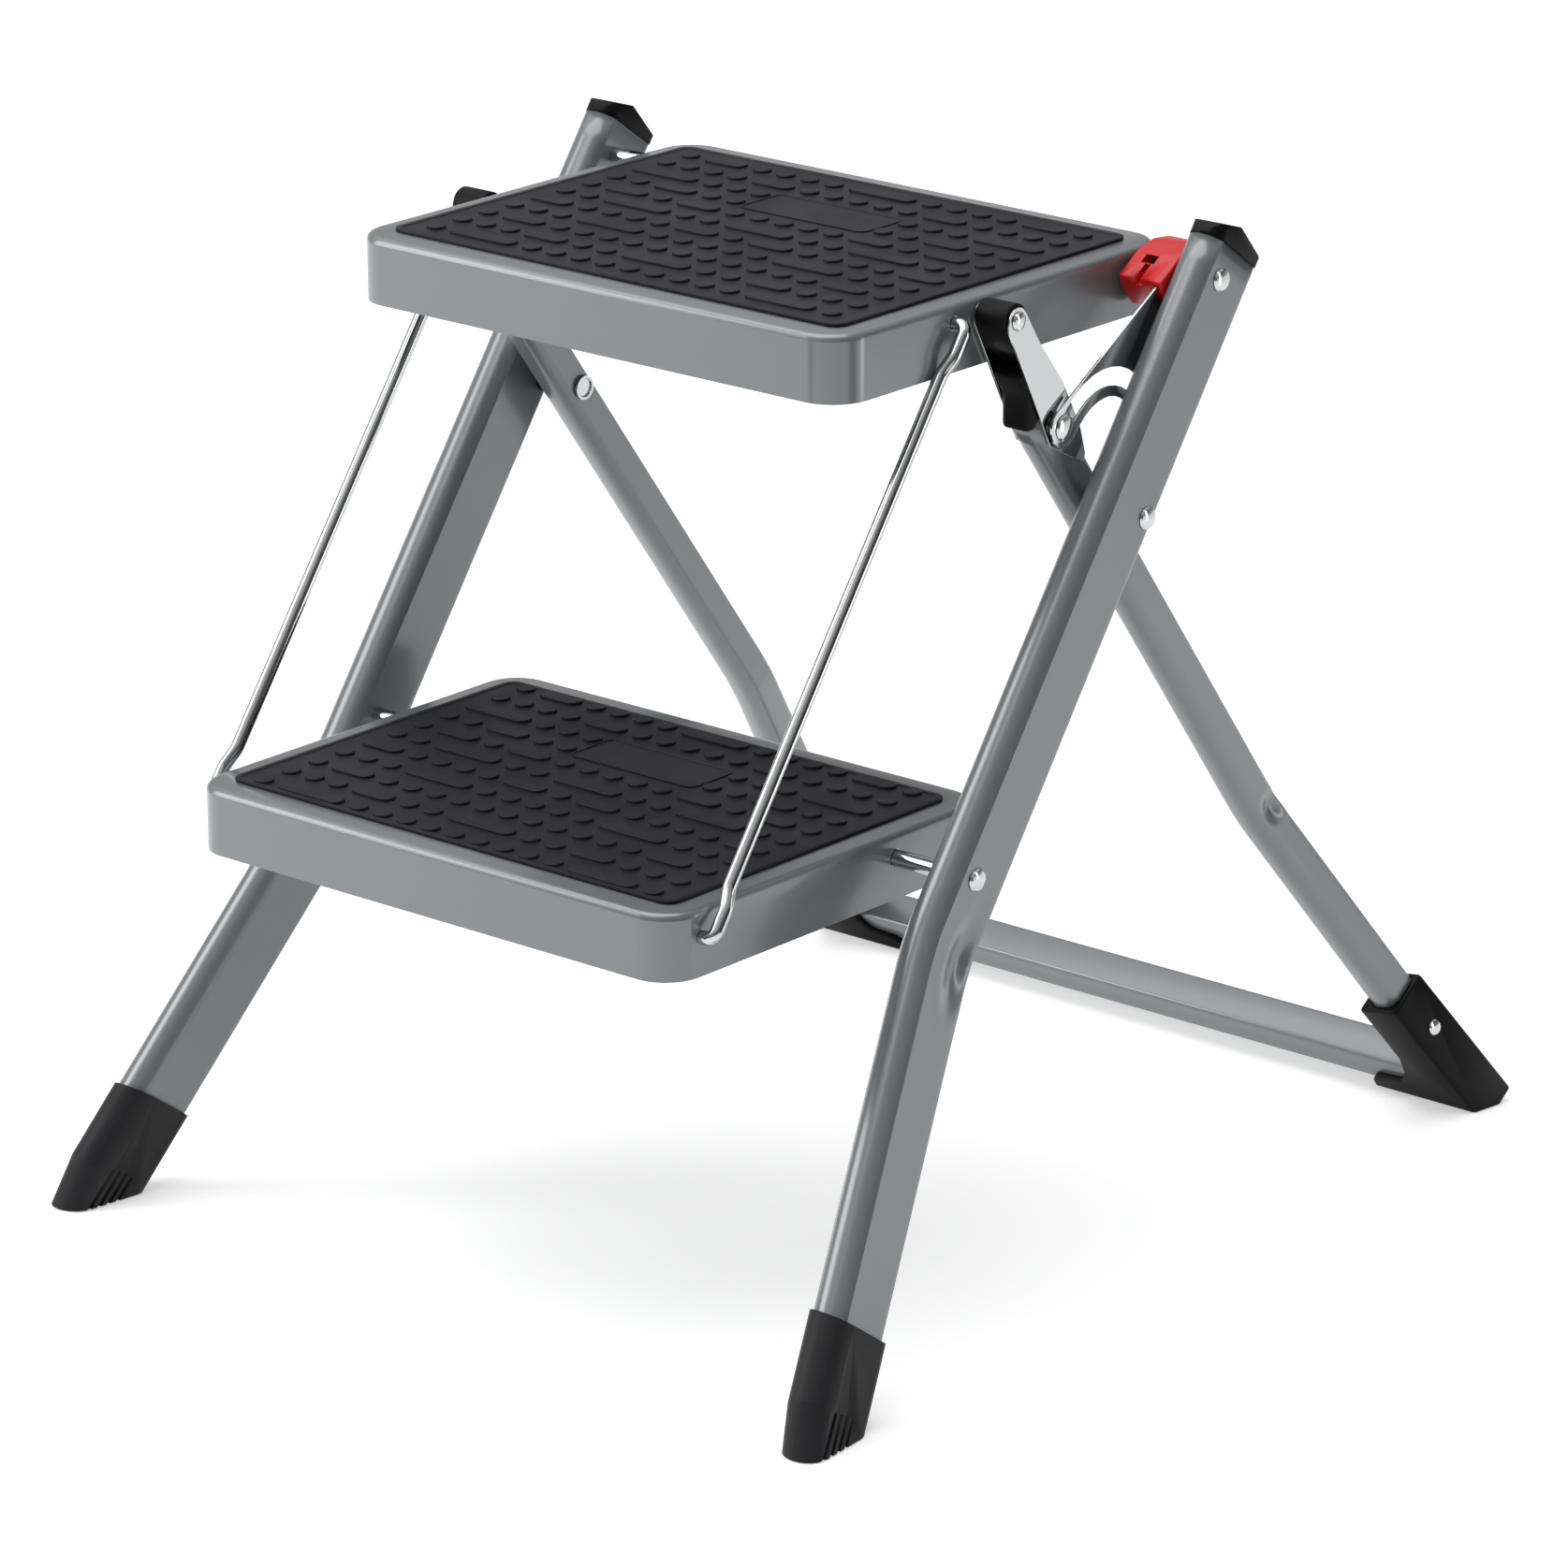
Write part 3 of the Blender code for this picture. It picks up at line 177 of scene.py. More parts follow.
def build_scuffs():
    """Faint marks and a fine fleck between two close colours."""
    inputs = (("Vector", "NodeSocketVector", None), ("Color", "NodeSocketColor", (0.5, 0.5, 0.5, 1.0)),
              ("Marked", "NodeSocketColor", (0.6, 0.6, 0.6, 1.0)),
              ("Fleck Scale", "NodeSocketFloat", 900.0), ("Fleck", "NodeSocketFloat", 0.2))
    tree, start, end = open_group("scuffs_and_fleck", inputs, (("Color", "NodeSocketColor"),))
    cloud = fill(node(tree, "ShaderNodeTexNoise", (-500, 200)), Scale=9.0, Detail=2.0, Roughness=0.5)
    fleck = fill(node(tree, "ShaderNodeTexNoise", (-500, -100)), Detail=1.0)
    marks = node(tree, "ShaderNodeMapRange", (-250, 200), interpolation_type="SMOOTHERSTEP")
    marks.inputs["From Min"].default_value = 0.30
    marks.inputs["From Max"].default_value = 0.80
    marks.inputs["To Max"].default_value = 0.40
    share = node(tree, "ShaderNodeMath", (-250, -100), operation="MULTIPLY")
    both = node(tree, "ShaderNodeMath", (-50, 0), operation="ADD")
    mix = node(tree, "ShaderNodeMix", (200, 0), data_type="RGBA")
    tree.links.new(start.outputs["Vector"], cloud.inputs["Vector"])
    tree.links.new(start.outputs["Vector"], fleck.inputs["Vector"])
    tree.links.new(start.outputs["Fleck Scale"], fleck.inputs["Scale"])
    tree.links.new(cloud.outputs["Fac"], marks.inputs["Value"])
    tree.links.new(fleck.outputs["Fac"], share.inputs[0])
    tree.links.new(start.outputs["Fleck"], share.inputs[1])
    tree.links.new(marks.outputs["Result"], both.inputs[0])
    tree.links.new(share.outputs["Value"], both.inputs[1])
    tree.links.new(both.outputs["Value"], mix.inputs["Factor"])
    tree.links.new(start.outputs["Color"], mix.inputs["A"])
    tree.links.new(start.outputs["Marked"], mix.inputs["B"])
    tree.links.new(mix.outputs["Result"], end.inputs["Color"])
    return tree


GRAIN = build_grain()
HAZE = build_haze()
SCUFFS = build_scuffs()
print("node groups:", GRAIN.name, HAZE.name, SCUFFS.name)

# %% [markdown]
# ## The finishes
# All finishes are made the same way and differ only in their numbers: colour and its marked colour,
# gloss, and the size and depth of the grain. Values that are the same all over sit on the shader.

# %% One recipe for all finishes
COAT_ROUGHNESS = 0.12


def finish_of(name, color, marked, gloss, grain, metallic=0.0, fleck=(900.0, 0.2), haze_scale=14.0,
              coat=0.0, specular=0.5):
    made = bpy.data.materials.new(name)
    made.use_nodes = True
    tree = made.node_tree
    shader = tree.nodes["Principled BSDF"]
    place = node(tree, "ShaderNodeTexCoord", (-900, 0))
    tint = node(tree, "ShaderNodeGroup", (-500, 250), node_tree=SCUFFS)
    tint.inputs["Color"].default_value = (*color, 1.0)
    tint.inputs["Marked"].default_value = (*marked, 1.0)
    tint.inputs["Fleck Scale"].default_value = fleck[0]
    tint.inputs["Fleck"].default_value = fleck[1]
    shine = node(tree, "ShaderNodeGroup", (-500, 0), node_tree=HAZE)
    shine.inputs["Scale"].default_value = haze_scale
    shine.inputs["Least"].default_value = gloss[0]
    shine.inputs["Greatest"].default_value = gloss[1]
    skin = node(tree, "ShaderNodeGroup", (-500, -250), node_tree=GRAIN)
    skin.inputs["Scale"].default_value = grain[0]
    skin.inputs["Depth"].default_value = grain[1]
    skin.inputs["Strength"].default_value = grain[2]
    for group in (tint, shine, skin):
        tree.links.new(place.outputs["Object"], group.inputs["Vector"])
    tree.links.new(tint.outputs["Color"], shader.inputs["Base Color"])
    tree.links.new(shine.outputs["Roughness"], shader.inputs["Roughness"])
    tree.links.new(skin.outputs["Normal"], shader.inputs["Normal"])
    shader.inputs["Metallic"].default_value = metallic
    shader.inputs["Coat Weight"].default_value = coat
    shader.inputs["Coat Roughness"].default_value = COAT_ROUGHNESS
    shader.inputs["Specular IOR Level"].default_value = specular
    return made


# %% [markdown]
# The frame and the treads are sprayed with silver-grey enamel: a metallic paint with a fine fleck, a
# clear gloss over it and a little orange peel. The plated parts are bright but never perfect mirrors.
# Caps and corner feet are grained plastic, the boots and mats are matt rubber, and the catch is red.

# %% Make the finishes
FINISHES = {
    "silver_paint": finish_of("silver_enamel", (0.1725, 0.1845, 0.1915), (0.1745, 0.1865, 0.1935),
                              (0.28, 0.28), (420.0, 0.00004, 0.20), metallic=0.40, fleck=(2600.0, 0.5),
                              coat=0.35),
    "chrome_steel": finish_of("bright_plate", (0.55, 0.555, 0.56), (0.49, 0.495, 0.50), (0.07, 0.13),
                              (900.0, 0.00001, 0.12), metallic=1.0, haze_scale=60.0),
    "black_plastic": finish_of("grained_plastic", (0.0026, 0.0025, 0.0026), (0.0052, 0.0050, 0.0052),
                               (0.34, 0.46), (1500.0, 0.00008, 0.28), haze_scale=30.0, specular=0.11),
    "black_rubber": finish_of("boot_rubber", (0.0105, 0.0100, 0.0118), (0.0165, 0.0158, 0.0180),
                              (0.46, 0.58), (1100.0, 0.00010, 0.32), haze_scale=30.0, specular=0.20),
    "mat_rubber": finish_of("mat_rubber", (0.0125, 0.0114, 0.0148), (0.0175, 0.0161, 0.0205), (0.38, 0.50),
                            (1300.0, 0.00008, 0.32), haze_scale=22.0, specular=0.13),
    "red_plastic": finish_of("red_plastic", (0.47, 0.0045, 0.0075), (0.54, 0.0090, 0.0110), (0.26, 0.38),
                             (1400.0, 0.00005, 0.18), haze_scale=40.0, coat=0.10, specular=0.3),
}
print("finishes:", ", ".join(FINISHES))

# %% [markdown]
# ## Carried-over pieces
# Rivets, rods, caps, feet, links and pans already have their true shape, but their solids come as loose
# triangles with razor edges. A copy is merged, its flat faces are joined again, and a small bevel gives
# each edge the highlight that a real edge has. The copy stands for the solid and rides on its body. A few
# plastic and plate ends are a millimetre or two finer on the real stool than on the solids, which keep
# their play for folding, so those ends are drawn in first.

# %% Small changes of shape
FRONT_LEG_TOP = 0.0150
REAR_LEG_TOP = 0.0680
CAP_BRIM = 0.0025
CAP_LOWER = 0.22
LINK_END_SHARE = 0.79
SLEEVE_END_SHARE = 0.82
PIN_CLEAR = 0.0040
PIN_LEVEL = 0.0003
SKIRT_LEFT = 0.0004
RING_WIDE = 0.0014
RING_DEEP = 0.0010
pin_low, pin_high = (Vector(corner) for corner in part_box("link_pin_right"))
link_pin = (pin_low + pin_high) / 2.0
link_down = axis_at["link_turn_right"] - link_pin
link_down = Vector((0.0, link_down.y, link_down.z)).normalized()


def lower_cap(bm):
    """Presses the roof of a front cap down along its leg."""
    for vert in bm.verts:
        up = -(vert.co - UPPER_ROD).dot(front_down) - FRONT_LEG_TOP
        if up > CAP_BRIM:
            vert.co += front_down * (up - CAP_BRIM) * CAP_LOWER


def narrow_end(bm, share):
    """Draws the round end of a link in towards its pin."""
    for vert in bm.verts:
        away = Vector((0.0, vert.co.y - link_pin.y, vert.co.z - link_pin.z))
        if away.dot(link_down) < PIN_LEVEL and away.length > PIN_CLEAR:
            vert.co -= away * (1.0 - share)


def hollow_back(bm):
    """Gives the inner end of a rivet its rolled ring round a hollow."""
    end = max(bm.faces, key=lambda f: -f.normal.x * copysign(f.calc_area(), f.calc_center_median().x))
    bmesh.ops.inset_region(bm, faces=[end], thickness=RING_WIDE, depth=0.0)
    bmesh.ops.inset_region(bm, faces=[end], thickness=RING_WIDE / 4.0, depth=-RING_DEEP)


def cut_skirt(bm):
    """Ends a rear cap at the top of its tube."""
    level = Vector((0.0, CROSSING.y, CROSSING.z)) - rear_down * (REAR_LEG_TOP - SKIRT_LEFT)
    everything = bm.verts[:] + bm.edges[:] + bm.faces[:]
    bmesh.ops.bisect_plane(bm, geom=everything, plane_co=level, plane_no=rear_down, clear_outer=True)
    bmesh.ops.holes_fill(bm, edges=[e for e in bm.edges if e.is_boundary], sides=0)
    bmesh.ops.recalc_face_normals(bm, faces=bm.faces)


shaping = {"front_cap": lower_cap, "rear_cap": cut_skirt,
           "link_inner": lambda bm: narrow_end(bm, LINK_END_SHARE),
           "link_outer": lambda bm: narrow_end(bm, LINK_END_SHARE),
           "link_sleeve": lambda bm: narrow_end(bm, SLEEVE_END_SHARE), "cross_rivet": hollow_back}
print("pieces trimmed:", ", ".join(shaping))

# %% Give a solid its real edges
MERGE_GAP = 0.000005
FLAT_ANGLE = radians(0.6)
CRISP_ANGLE = 34.0
BEVEL_ANGLE = radians(50.0)
BEVEL_STEPS = 2


def merged_copy(name):
    """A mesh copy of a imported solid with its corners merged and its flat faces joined."""
    shape = frame["nodes"][name].data.copy()
    bm = bmesh.new()
    bm.from_mesh(shape)
    bmesh.ops.remove_doubles(bm, verts=bm.verts, dist=MERGE_GAP)
    bmesh.ops.dissolve_limit(bm, angle_limit=FLAT_ANGLE, verts=bm.verts, edges=bm.edges)
    for start, change in shaping.items():
        if name.startswith(start):
            change(bm)
    bm.to_mesh(shape)
    bm.free()
    return shape


def edged(name, width):
    """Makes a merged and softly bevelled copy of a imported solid, with its finish."""
    shape = merged_copy(name)
    shape.materials.clear()
    shape.materials.append(FINISHES[slot_of[name]])
    shape.shade_smooth()
    shape.set_sharp_from_angle(angle=radians(CRISP_ANGLE))
    copy = bpy.data.objects.new(name + "_shown", shape)
    bpy.context.scene.collection.objects.link(copy)
    if width > 0.0:
        soft = copy.modifiers.new("edge", "BEVEL")
        soft.width = width
        soft.segments = BEVEL_STEPS
        soft.limit_method = "ANGLE"
        soft.angle_limit = BEVEL_ANGLE
        soft.harden_normals = True
    settle(copy, name)


def settle(piece, *names):
    """A finished piece stands for the named solids and moves with their body."""
    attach(piece, carrier_of[names[0]])
    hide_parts(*names)


# %% [markdown]
# A stamped sheet has edges rounded by a few tenths of a millimetre, a moulded sleeve a little more. Caps,
# feet, pans and the catch were already modelled with rounded edges, so they get none here.

# %% Edges by the way each piece is made
SHEET_EDGE = 0.00025
MOULD_EDGE = 0.00035
HAIR_EDGE = 0.00012
alike = {SHEET_EDGE: ("link_inner", "link_outer", "stay_plate"),
         MOULD_EDGE: ("link_sleeve",),
         HAIR_EDGE: ("top_rod", "lower_rod", "cross_rivet", "cross_spacer", "foot_rivet", "knee_stud",
                     "link_pin"),
         0.0: ("front_cap", "rear_cap", "rear_foot", "catch", "top_tread", "lower_tread")}
edge_of = {start: edge for edge, starts in alike.items() for start in starts}
own_shapes = ("front_leg", "rear_leg", "rear_cross_bar", "top_mat", "lower_mat", "tread_wire",
              "front_foot")
for name in sorted(frame["nodes"]):
    if name.startswith(own_shapes):
        continue
    width = next(edge for start, edge in edge_of.items() if name.startswith(start))
    edged(name, width)
print("edged pieces:", len([n for n in frame["nodes"] if not n.startswith(own_shapes)]))

# %% [markdown]
# ## The tubes
# Each leg is a D-shaped steel tube: a half-round front, flat sides and a flat back with small corners.
# Below its bend the leg splays outward. Bending a tube in a press pushes the wall in on the inside of
# the bend, and that dimple shows on the outer face of every leg. The tube is drawn as one ring of edges
# and extruded along the leg, with close rings where it bends.

# %% Sizes of the tubes
FRONT_TUBE = {"in": 0.1745, "width": 0.0190, "ahead": 0.0155, "behind": 0.0215, "crown": 0.0102,
              "shoulder": 0.0008, "corner": 0.0025, "above": FRONT_LEG_TOP, "bend": 0.3336, "splay": 0.190,
              "length": 0.5400, "dent": (0.0036, 0.0165, 0.0066, 0.0105)}
REAR_TUBE = {"in": 0.1495, "width": 0.0175, "ahead": 0.0121, "behind": 0.0071, "crown": 0.2000,
             "shoulder": 0.0070, "corner": 0.0022, "above": REAR_LEG_TOP, "bend": 0.2226, "splay": 0.169,
             "length": 0.4139, "dent": (0.0026, 0.0062, 0.0052, 0.0005)}
REAR_BAR = 0.4230
BEND_RUN = 0.0140
WALL = 0.0013
LEG_SPACING = 0.0016
BAR_SPACING = 0.0060
TUBE_CRISP = 40.0
BAR_CRISP = 50.0
tube_deep = FRONT_TUBE["ahead"] + FRONT_TUBE["behind"]
print("front tube", FRONT_TUBE["width"] * 1000, "x", tube_deep * 1000, "mm")


# %% Outline of a tube
FLAT_CROWN = 70.0
BOW_STEPS = 14
FLAT_STEPS = 2
SAME_SPOT = 0.00003


def arc_points(centre, radius, first, last, steps):
    turns = [radians(first + (last - first) * i / steps) for i in range(steps + 1)]
    return [Vector((centre[0] + radius * cos(a), centre[1] + radius * sin(a))) for a in turns]


def tube_outline(tube, spacing):
    """Points (across, behind) of a tube: a crown ahead, shoulders where it meets the sides, a flat back."""
    half = tube["width"] / 2.0
    corner = tube["corner"]
    shoulder = tube["shoulder"]
    crown = tube["crown"]
    reach = crown - shoulder
    drop = (reach ** 2 - (half - shoulder) ** 2) ** 0.5
    turned = degrees(atan2(drop, half - shoulder))
    level = crown - tube["ahead"]
    bow = BOW_STEPS if turned < FLAT_CROWN else FLAT_STEPS
    corners = arc_points((half - corner, tube["behind"] - corner), corner, 0.0, 90.0, 4)
    corners += arc_points((corner - half, tube["behind"] - corner), corner, 90.0, 180.0, 4)
    corners += arc_points((shoulder - half, level - drop), shoulder, 180.0, 180.0 + turned, 6)
    corners += arc_points((0.0, level), crown, 180.0 + turned, 360.0 - turned, bow)
    corners += arc_points((half - shoulder, level - drop), shoulder, 360.0 - turned, 360.0, 6)
    outline = []
    for i, point in enumerate(corners):
        before = corners[i - 1]
        parts = max(1, round((point - before).length / spacing))
        for k in range(1, parts + 1):
            spot = before.lerp(point, k / parts)
            if not outline or (spot - outline[-1]).length > SAME_SPOT:
                outline.append(spot)
    return outline


# %% [markdown]
# The leg's middle line runs straight, turns over a short stretch and runs straight again. The dent in
# the outer wall is deepest at the bend, with a rim of raised metal round it, and it is long on a front
# leg and nearly round on a rear leg.

# %% Middle line and dent
DENT_FALL = 2.2
RIM_SHARE = 0.07
RIM_AT = 1.75
RIM_WIDE = 0.40
BEND_ZONE = 0.034
CLOSE_RINGS = 0.0013
SPARSE_RINGS = 0.0130


def offset_at(tube, down):
    """How far the middle line has moved outward at a distance down the leg."""
    t = (down - tube["bend"] + BEND_RUN) / (2.0 * BEND_RUN)
    if t <= 0.0:
        return 0.0
    if t < 1.0:
        return tube["splay"] * BEND_RUN * t * t
    return tube["splay"] * (down - tube["bend"])


def dent_at(tube, down, across, behind):
    """Inward shift of the outer wall near the bend."""
    deep, long, wide, middle = tube["dent"]
    share = max(0.0, across / (tube["width"] / 2.0))
    far = (((down - tube["bend"]) / long) ** 2 + ((behind - middle) / wide) ** 2) ** 0.5
    rim = RIM_SHARE * exp(-((far - RIM_AT) / RIM_WIDE) ** 2)
    return -deep * share ** 2 * (exp(-far ** DENT_FALL) - rim)


def stations(tube):
    """Distances down the leg: sparse on the straights, close at the bend."""
    found = [-tube["above"]]
    while found[-1] < tube["length"]:
        near = abs(found[-1] - tube["bend"]) < BEND_ZONE
        found.append(min(found[-1] + (CLOSE_RINGS if near else SPARSE_RINGS), tube["length"]))
    return found


# %% Extrude a tube
def ring_of(tube, outline, down, side, origin, along, normal):
    slope = tube["splay"] if down > tube["bend"] else 0.0
    wide = (1.0 + slope * slope) ** 0.5
    places = []
    for p in outline:
        push = dent_at(tube, down, p.x, p.y)
        x = tube["in"] + tube["width"] / 2.0 + offset_at(tube, down) + p.x * wide + push
        places.append(Vector((side * x, 0.0, 0.0)) + origin + along * down + normal * p.y)
    return places


def extrude_ring(bm, edges, last, places):
    """Extrudes a closed ring of edges and puts its new corners on the given places."""
    grown = bmesh.ops.extrude_edge_only(bm, edges=edges)["geom"]
    fresh = {v for v in grown if isinstance(v, bmesh.types.BMVert)}
    edges = [e for e in grown if isinstance(e, bmesh.types.BMEdge)]
    upward = []
    for vert, place in zip(last, places):
        twin = next(e.other_vert(vert) for e in vert.link_edges if e.other_vert(vert) in fresh)
        upward.append((twin, place))
    for twin, place in upward:
        twin.co = place
    return edges, [twin for twin, _ in upward]


def swept_rings(rings):
    """A bmesh skin through a row of closed rings."""
    bm = bmesh.new()
    last = [bm.verts.new(place) for place in rings[0]]
    edges = [bm.edges.new((last[i - 1], last[i])) for i in range(len(last))]
    for places in rings[1:]:
        edges, last = extrude_ring(bm, edges, last, places)
    return bm


# %% From skin to piece
def shown_piece(name, bm, finish, crisp):
    """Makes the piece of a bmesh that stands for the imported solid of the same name."""
    shape = bpy.data.meshes.new(name)
    bm.to_mesh(shape)
    bm.free()
    shape.materials.append(finish)
    shape.shade_smooth()
    shape.set_sharp_from_angle(angle=radians(crisp))
    piece = bpy.data.objects.new(name + "_shown", shape)
    bpy.context.scene.collection.objects.link(piece)
    settle(piece, name)
    return piece


def thick_wall(piece):
    wall = piece.modifiers.new("wall", "SOLIDIFY")
    wall.thickness = WALL
    wall.offset = -1.0
    wall.use_even_offset = True


def face_outward(bm, middle):
    """Turns all faces of a skin when its first one looks towards the middle of the first ring."""
    bm.normal_update()
    first = bm.faces[:][0]
    if first.normal.dot(first.calc_center_median() - middle) < 0.0:
        bmesh.ops.reverse_faces(bm, faces=bm.faces)


def leg(name, tube, side, pivot, along):
    """A leg of the stool as a thin-walled tube, from its top end down to its foot."""
    normal = Vector((0.0, -along.z, along.y))
    origin = Vector((0.0, pivot.y, pivot.z))
    outline = tube_outline(tube, LEG_SPACING)
    rings = [ring_of(tube, outline, down, side, origin, along, normal) for down in stations(tube)]
    bm = swept_rings(rings)
    face_outward(bm, sum(rings[0], Vector()) / len(outline))
    thick_wall(shown_piece(name, bm, FINISHES["silver_paint"], TUBE_CRISP))


for word, side in (("right", 1.0), ("left", -1.0)):
    leg("front_leg_" + word, FRONT_TUBE, side, UPPER_ROD, front_down)
    leg("rear_leg_" + word, REAR_TUBE, side, CROSSING, rear_down)
print("legs: 4, rings in a front leg:", len(stations(FRONT_TUBE)))

# %% [markdown]
# The bar across the rear feet is a box-shaped tube of the same size with small corners, lying in the
# plane of the rear frame. Its two visible faces meet in a crisp line.

# %% The bar across the back
BAR_PARTS = 24
BAR_TUBE = {**REAR_TUBE, "crown": 0.5000, "shoulder": 0.0024}
bar_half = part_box("rear_cross_bar")[1][0]
rear_normal = Vector((0.0, -rear_down.z, rear_down.y))
bar_middle = Vector((0.0, CROSSING.y, CROSSING.z)) + rear_down * REAR_BAR


def bar_ring(x):
    return [bar_middle + Vector((x, 0.0, 0.0)) + rear_down * p.x + rear_normal * p.y
            for p in tube_outline(BAR_TUBE, BAR_SPACING)]


bar_skin = swept_rings([bar_ring(bar_half * (2 * i / BAR_PARTS - 1.0)) for i in range(BAR_PARTS + 1)])
face_outward(bar_skin, bar_middle - Vector((bar_half, 0.0, 0.0)))
thick_wall(shown_piece("rear_cross_bar", bar_skin, FINISHES["silver_paint"], BAR_CRISP))
print("bar length", round(bar_half * 2000, 1), "mm")

# %% [markdown]
# ## The boots
# Each front leg stands in a rubber boot. Four short grip slits are cut into both of its sides just above
# the floor, in line with the leg. The slits are cut with a boolean and the result is kept as a mesh.

# %% Cut the grip slits
BOOT_WALL = 0.0020
SLITS = ((-0.0045, 0.0175), (0.0, 0.0155), (0.0045, 0.0135), (0.0090, 0.0105))
SLIT_WIDE = 0.0021
SLIT_DEEP = 0.0012
SLIT_LONG = 0.0400
front_normal = Vector((0.0, -front_down.z, front_down.y))


def slit_blocks(side):
    """Blocks in the places of the slits, as one mesh."""
    bm = bmesh.new()
    line = (Vector((side * FRONT_TUBE["splay"], 0.0, 0.0)) + front_down).normalized()
    turn = Matrix((front_normal.cross(line), front_normal, line)).transposed().to_4x4()
    origin = Vector((0.0, UPPER_ROD.y, UPPER_ROD.z))
    half = FRONT_TUBE["width"] / 2.0
    for face in (1.0, -1.0):
        for across, high in SLITS:
            down = (high - UPPER_ROD.z - front_normal.z * across) / front_down.z
            x = FRONT_TUBE["in"] + half + offset_at(FRONT_TUBE, down) + face * (half + BOOT_WALL)
            top = Vector((side * x, 0.0, 0.0)) + origin + front_down * down + front_normal * across
            place = Matrix.Translation(top + line * SLIT_LONG / 2.0) @ turn
            size = Matrix.Diagonal((2.0 * SLIT_DEEP, SLIT_WIDE, SLIT_LONG, 1.0))
            bmesh.ops.create_cube(bm, size=1.0, matrix=place @ size)
    blocks = bpy.data.meshes.new("slit_blocks")
    bm.to_mesh(blocks)
    bm.free()
    return blocks


def boot(word, side):
    name = "front_foot_" + word
    shape = merged_copy(name)
    piece = bpy.data.objects.new(name + "_shown", shape)
    blocks = bpy.data.objects.new("slit_blocks", slit_blocks(side))
    for made in (piece, blocks):
        bpy.context.scene.collection.objects.link(made)
    cut = piece.modifiers.new("slits", "BOOLEAN")
    cut.operation = "DIFFERENCE"
    cut.object = blocks
    kept = bpy.data.meshes.new_from_object(piece.evaluated_get(bpy.context.evaluated_depsgraph_get()))
    piece.modifiers.clear()
    piece.data = kept
    bpy.data.objects.remove(blocks)
    kept.materials.clear()
    kept.materials.append(FINISHES["black_rubber"])
    kept.shade_smooth()
    kept.set_sharp_from_angle(angle=radians(CRISP_ANGLE))
    settle(piece, name)
    print(name, "faces after cutting:", len(kept.polygons))


boot("right", 1.0)
boot("left", -1.0)

# %% [markdown]
# ## The wires
# A bright wire on each side keeps the two treads level with each other. It is one length of round wire:
# both ends turn inward through the skirts of the treads, and beside each hook the wire is set outward a
# little, so that it clears the skirt. It is drawn as a circle swept along that route.

# %% Route of a wire
UPPER_HOOK = axis_at["wire_turn_right"]
WIRE_RADIUS = 0.00325
HOOK_RADIUS = 0.0045
HOOK_SET = 0.0030
HOOK_SET_LONG = 0.0130
KINK_LONG = 0.0130
HOOK_STEPS = 8
KINK_STEPS = 12
WIRE_SIDES = 20
wire_run = LOWER_ROD - UPPER_ROD


def wire_side(word):
    low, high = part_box("tread_wire_" + word)
    return (low[0], high[0]) if word == "right" else (-high[0], -low[0])


def wire_route(deep, outer):
    """Points (outward, along) of a wire from its upper hook to its lower hook."""
    lane = outer - WIRE_RADIUS
    far = lane + HOOK_SET
    turns = [radians(90.0 * i / HOOK_STEPS) for i in range(HOOK_STEPS + 1)]
    hook = [(far - HOOK_RADIUS + HOOK_RADIUS * sin(a), HOOK_RADIUS - HOOK_RADIUS * cos(a)) for a in turns]
    steps = [i / KINK_STEPS for i in range(1, KINK_STEPS + 1)]
    kink = [(far - HOOK_SET * (3.0 * t ** 2 - 2.0 * t ** 3), HOOK_SET_LONG + KINK_LONG * t) for t in steps]
    half = [(deep, 0.0)] + hook + [(far, HOOK_SET_LONG)] + kink
    long = wire_run.length
    return half + [(x, long - d) for x, d in reversed(half)]


def wire_rings(word, side):
    deep, outer = wire_side(word)
    flat = [Vector((x, d)) for x, d in wire_route(deep, outer)]
    along = wire_run.normalized()
    across = along.cross(Vector((1.0, 0.0, 0.0)))
    rings = []
    for i, spot in enumerate(flat):
        heading = (flat[min(i + 1, len(flat) - 1)] - flat[max(i - 1, 0)]).normalized()
        middle = Vector((side * spot.x, UPPER_HOOK.y, UPPER_HOOK.z)) + along * spot.y
        aside = Vector((side * heading.y, 0.0, 0.0)) - along * heading.x
        turns = [2.0 * pi * k / WIRE_SIDES for k in range(WIRE_SIDES)]
        rings.append([middle + (aside * cos(a) + across * sin(a)) * WIRE_RADIUS for a in turns])
    return rings


for word, side in (("right", 1.0), ("left", -1.0)):
    rings = wire_rings(word, side)
    bm = swept_rings(rings)
    bmesh.ops.holes_fill(bm, edges=[e for e in bm.edges if e.is_boundary], sides=0)
    bmesh.ops.recalc_face_normals(bm, faces=bm.faces)
    shown_piece("tread_wire_" + word, bm, FINISHES["chrome_steel"], TUBE_CRISP)
print("wire length", round(wire_run.length * 1000, 1), "mm")

# %% [markdown]
# ## The mats
# Each tread carries the same moulded rubber mat. Its grip pattern is a grid of seventeen by eleven cells
# with a round stud in one cell, or a short or long bar over two or three, and a bare panel near the
# back. Every row is written as the lengths of its studs and bars, from the left, back row first.

# %% The grip pattern
GRIP_ROWS = ("1211113111121", "111121111121111", "3111P1113", "11211P11211", "1212111112121", "11311311311",
             "2111121211112", "1113111113111", "121111111111121", "1112113112111", "1311111111131")
PANEL_CELLS = 5
CELL_ACROSS = 0.0149
CELL_DEEP = 0.0178
STUD_RADIUS = 0.0047
STUD_RISE = 0.0012
STUD_ROOT = 0.0006
STUD_TAPER = 0.0002
STUD_SIDES = 18
STUD_EDGE = 0.00035


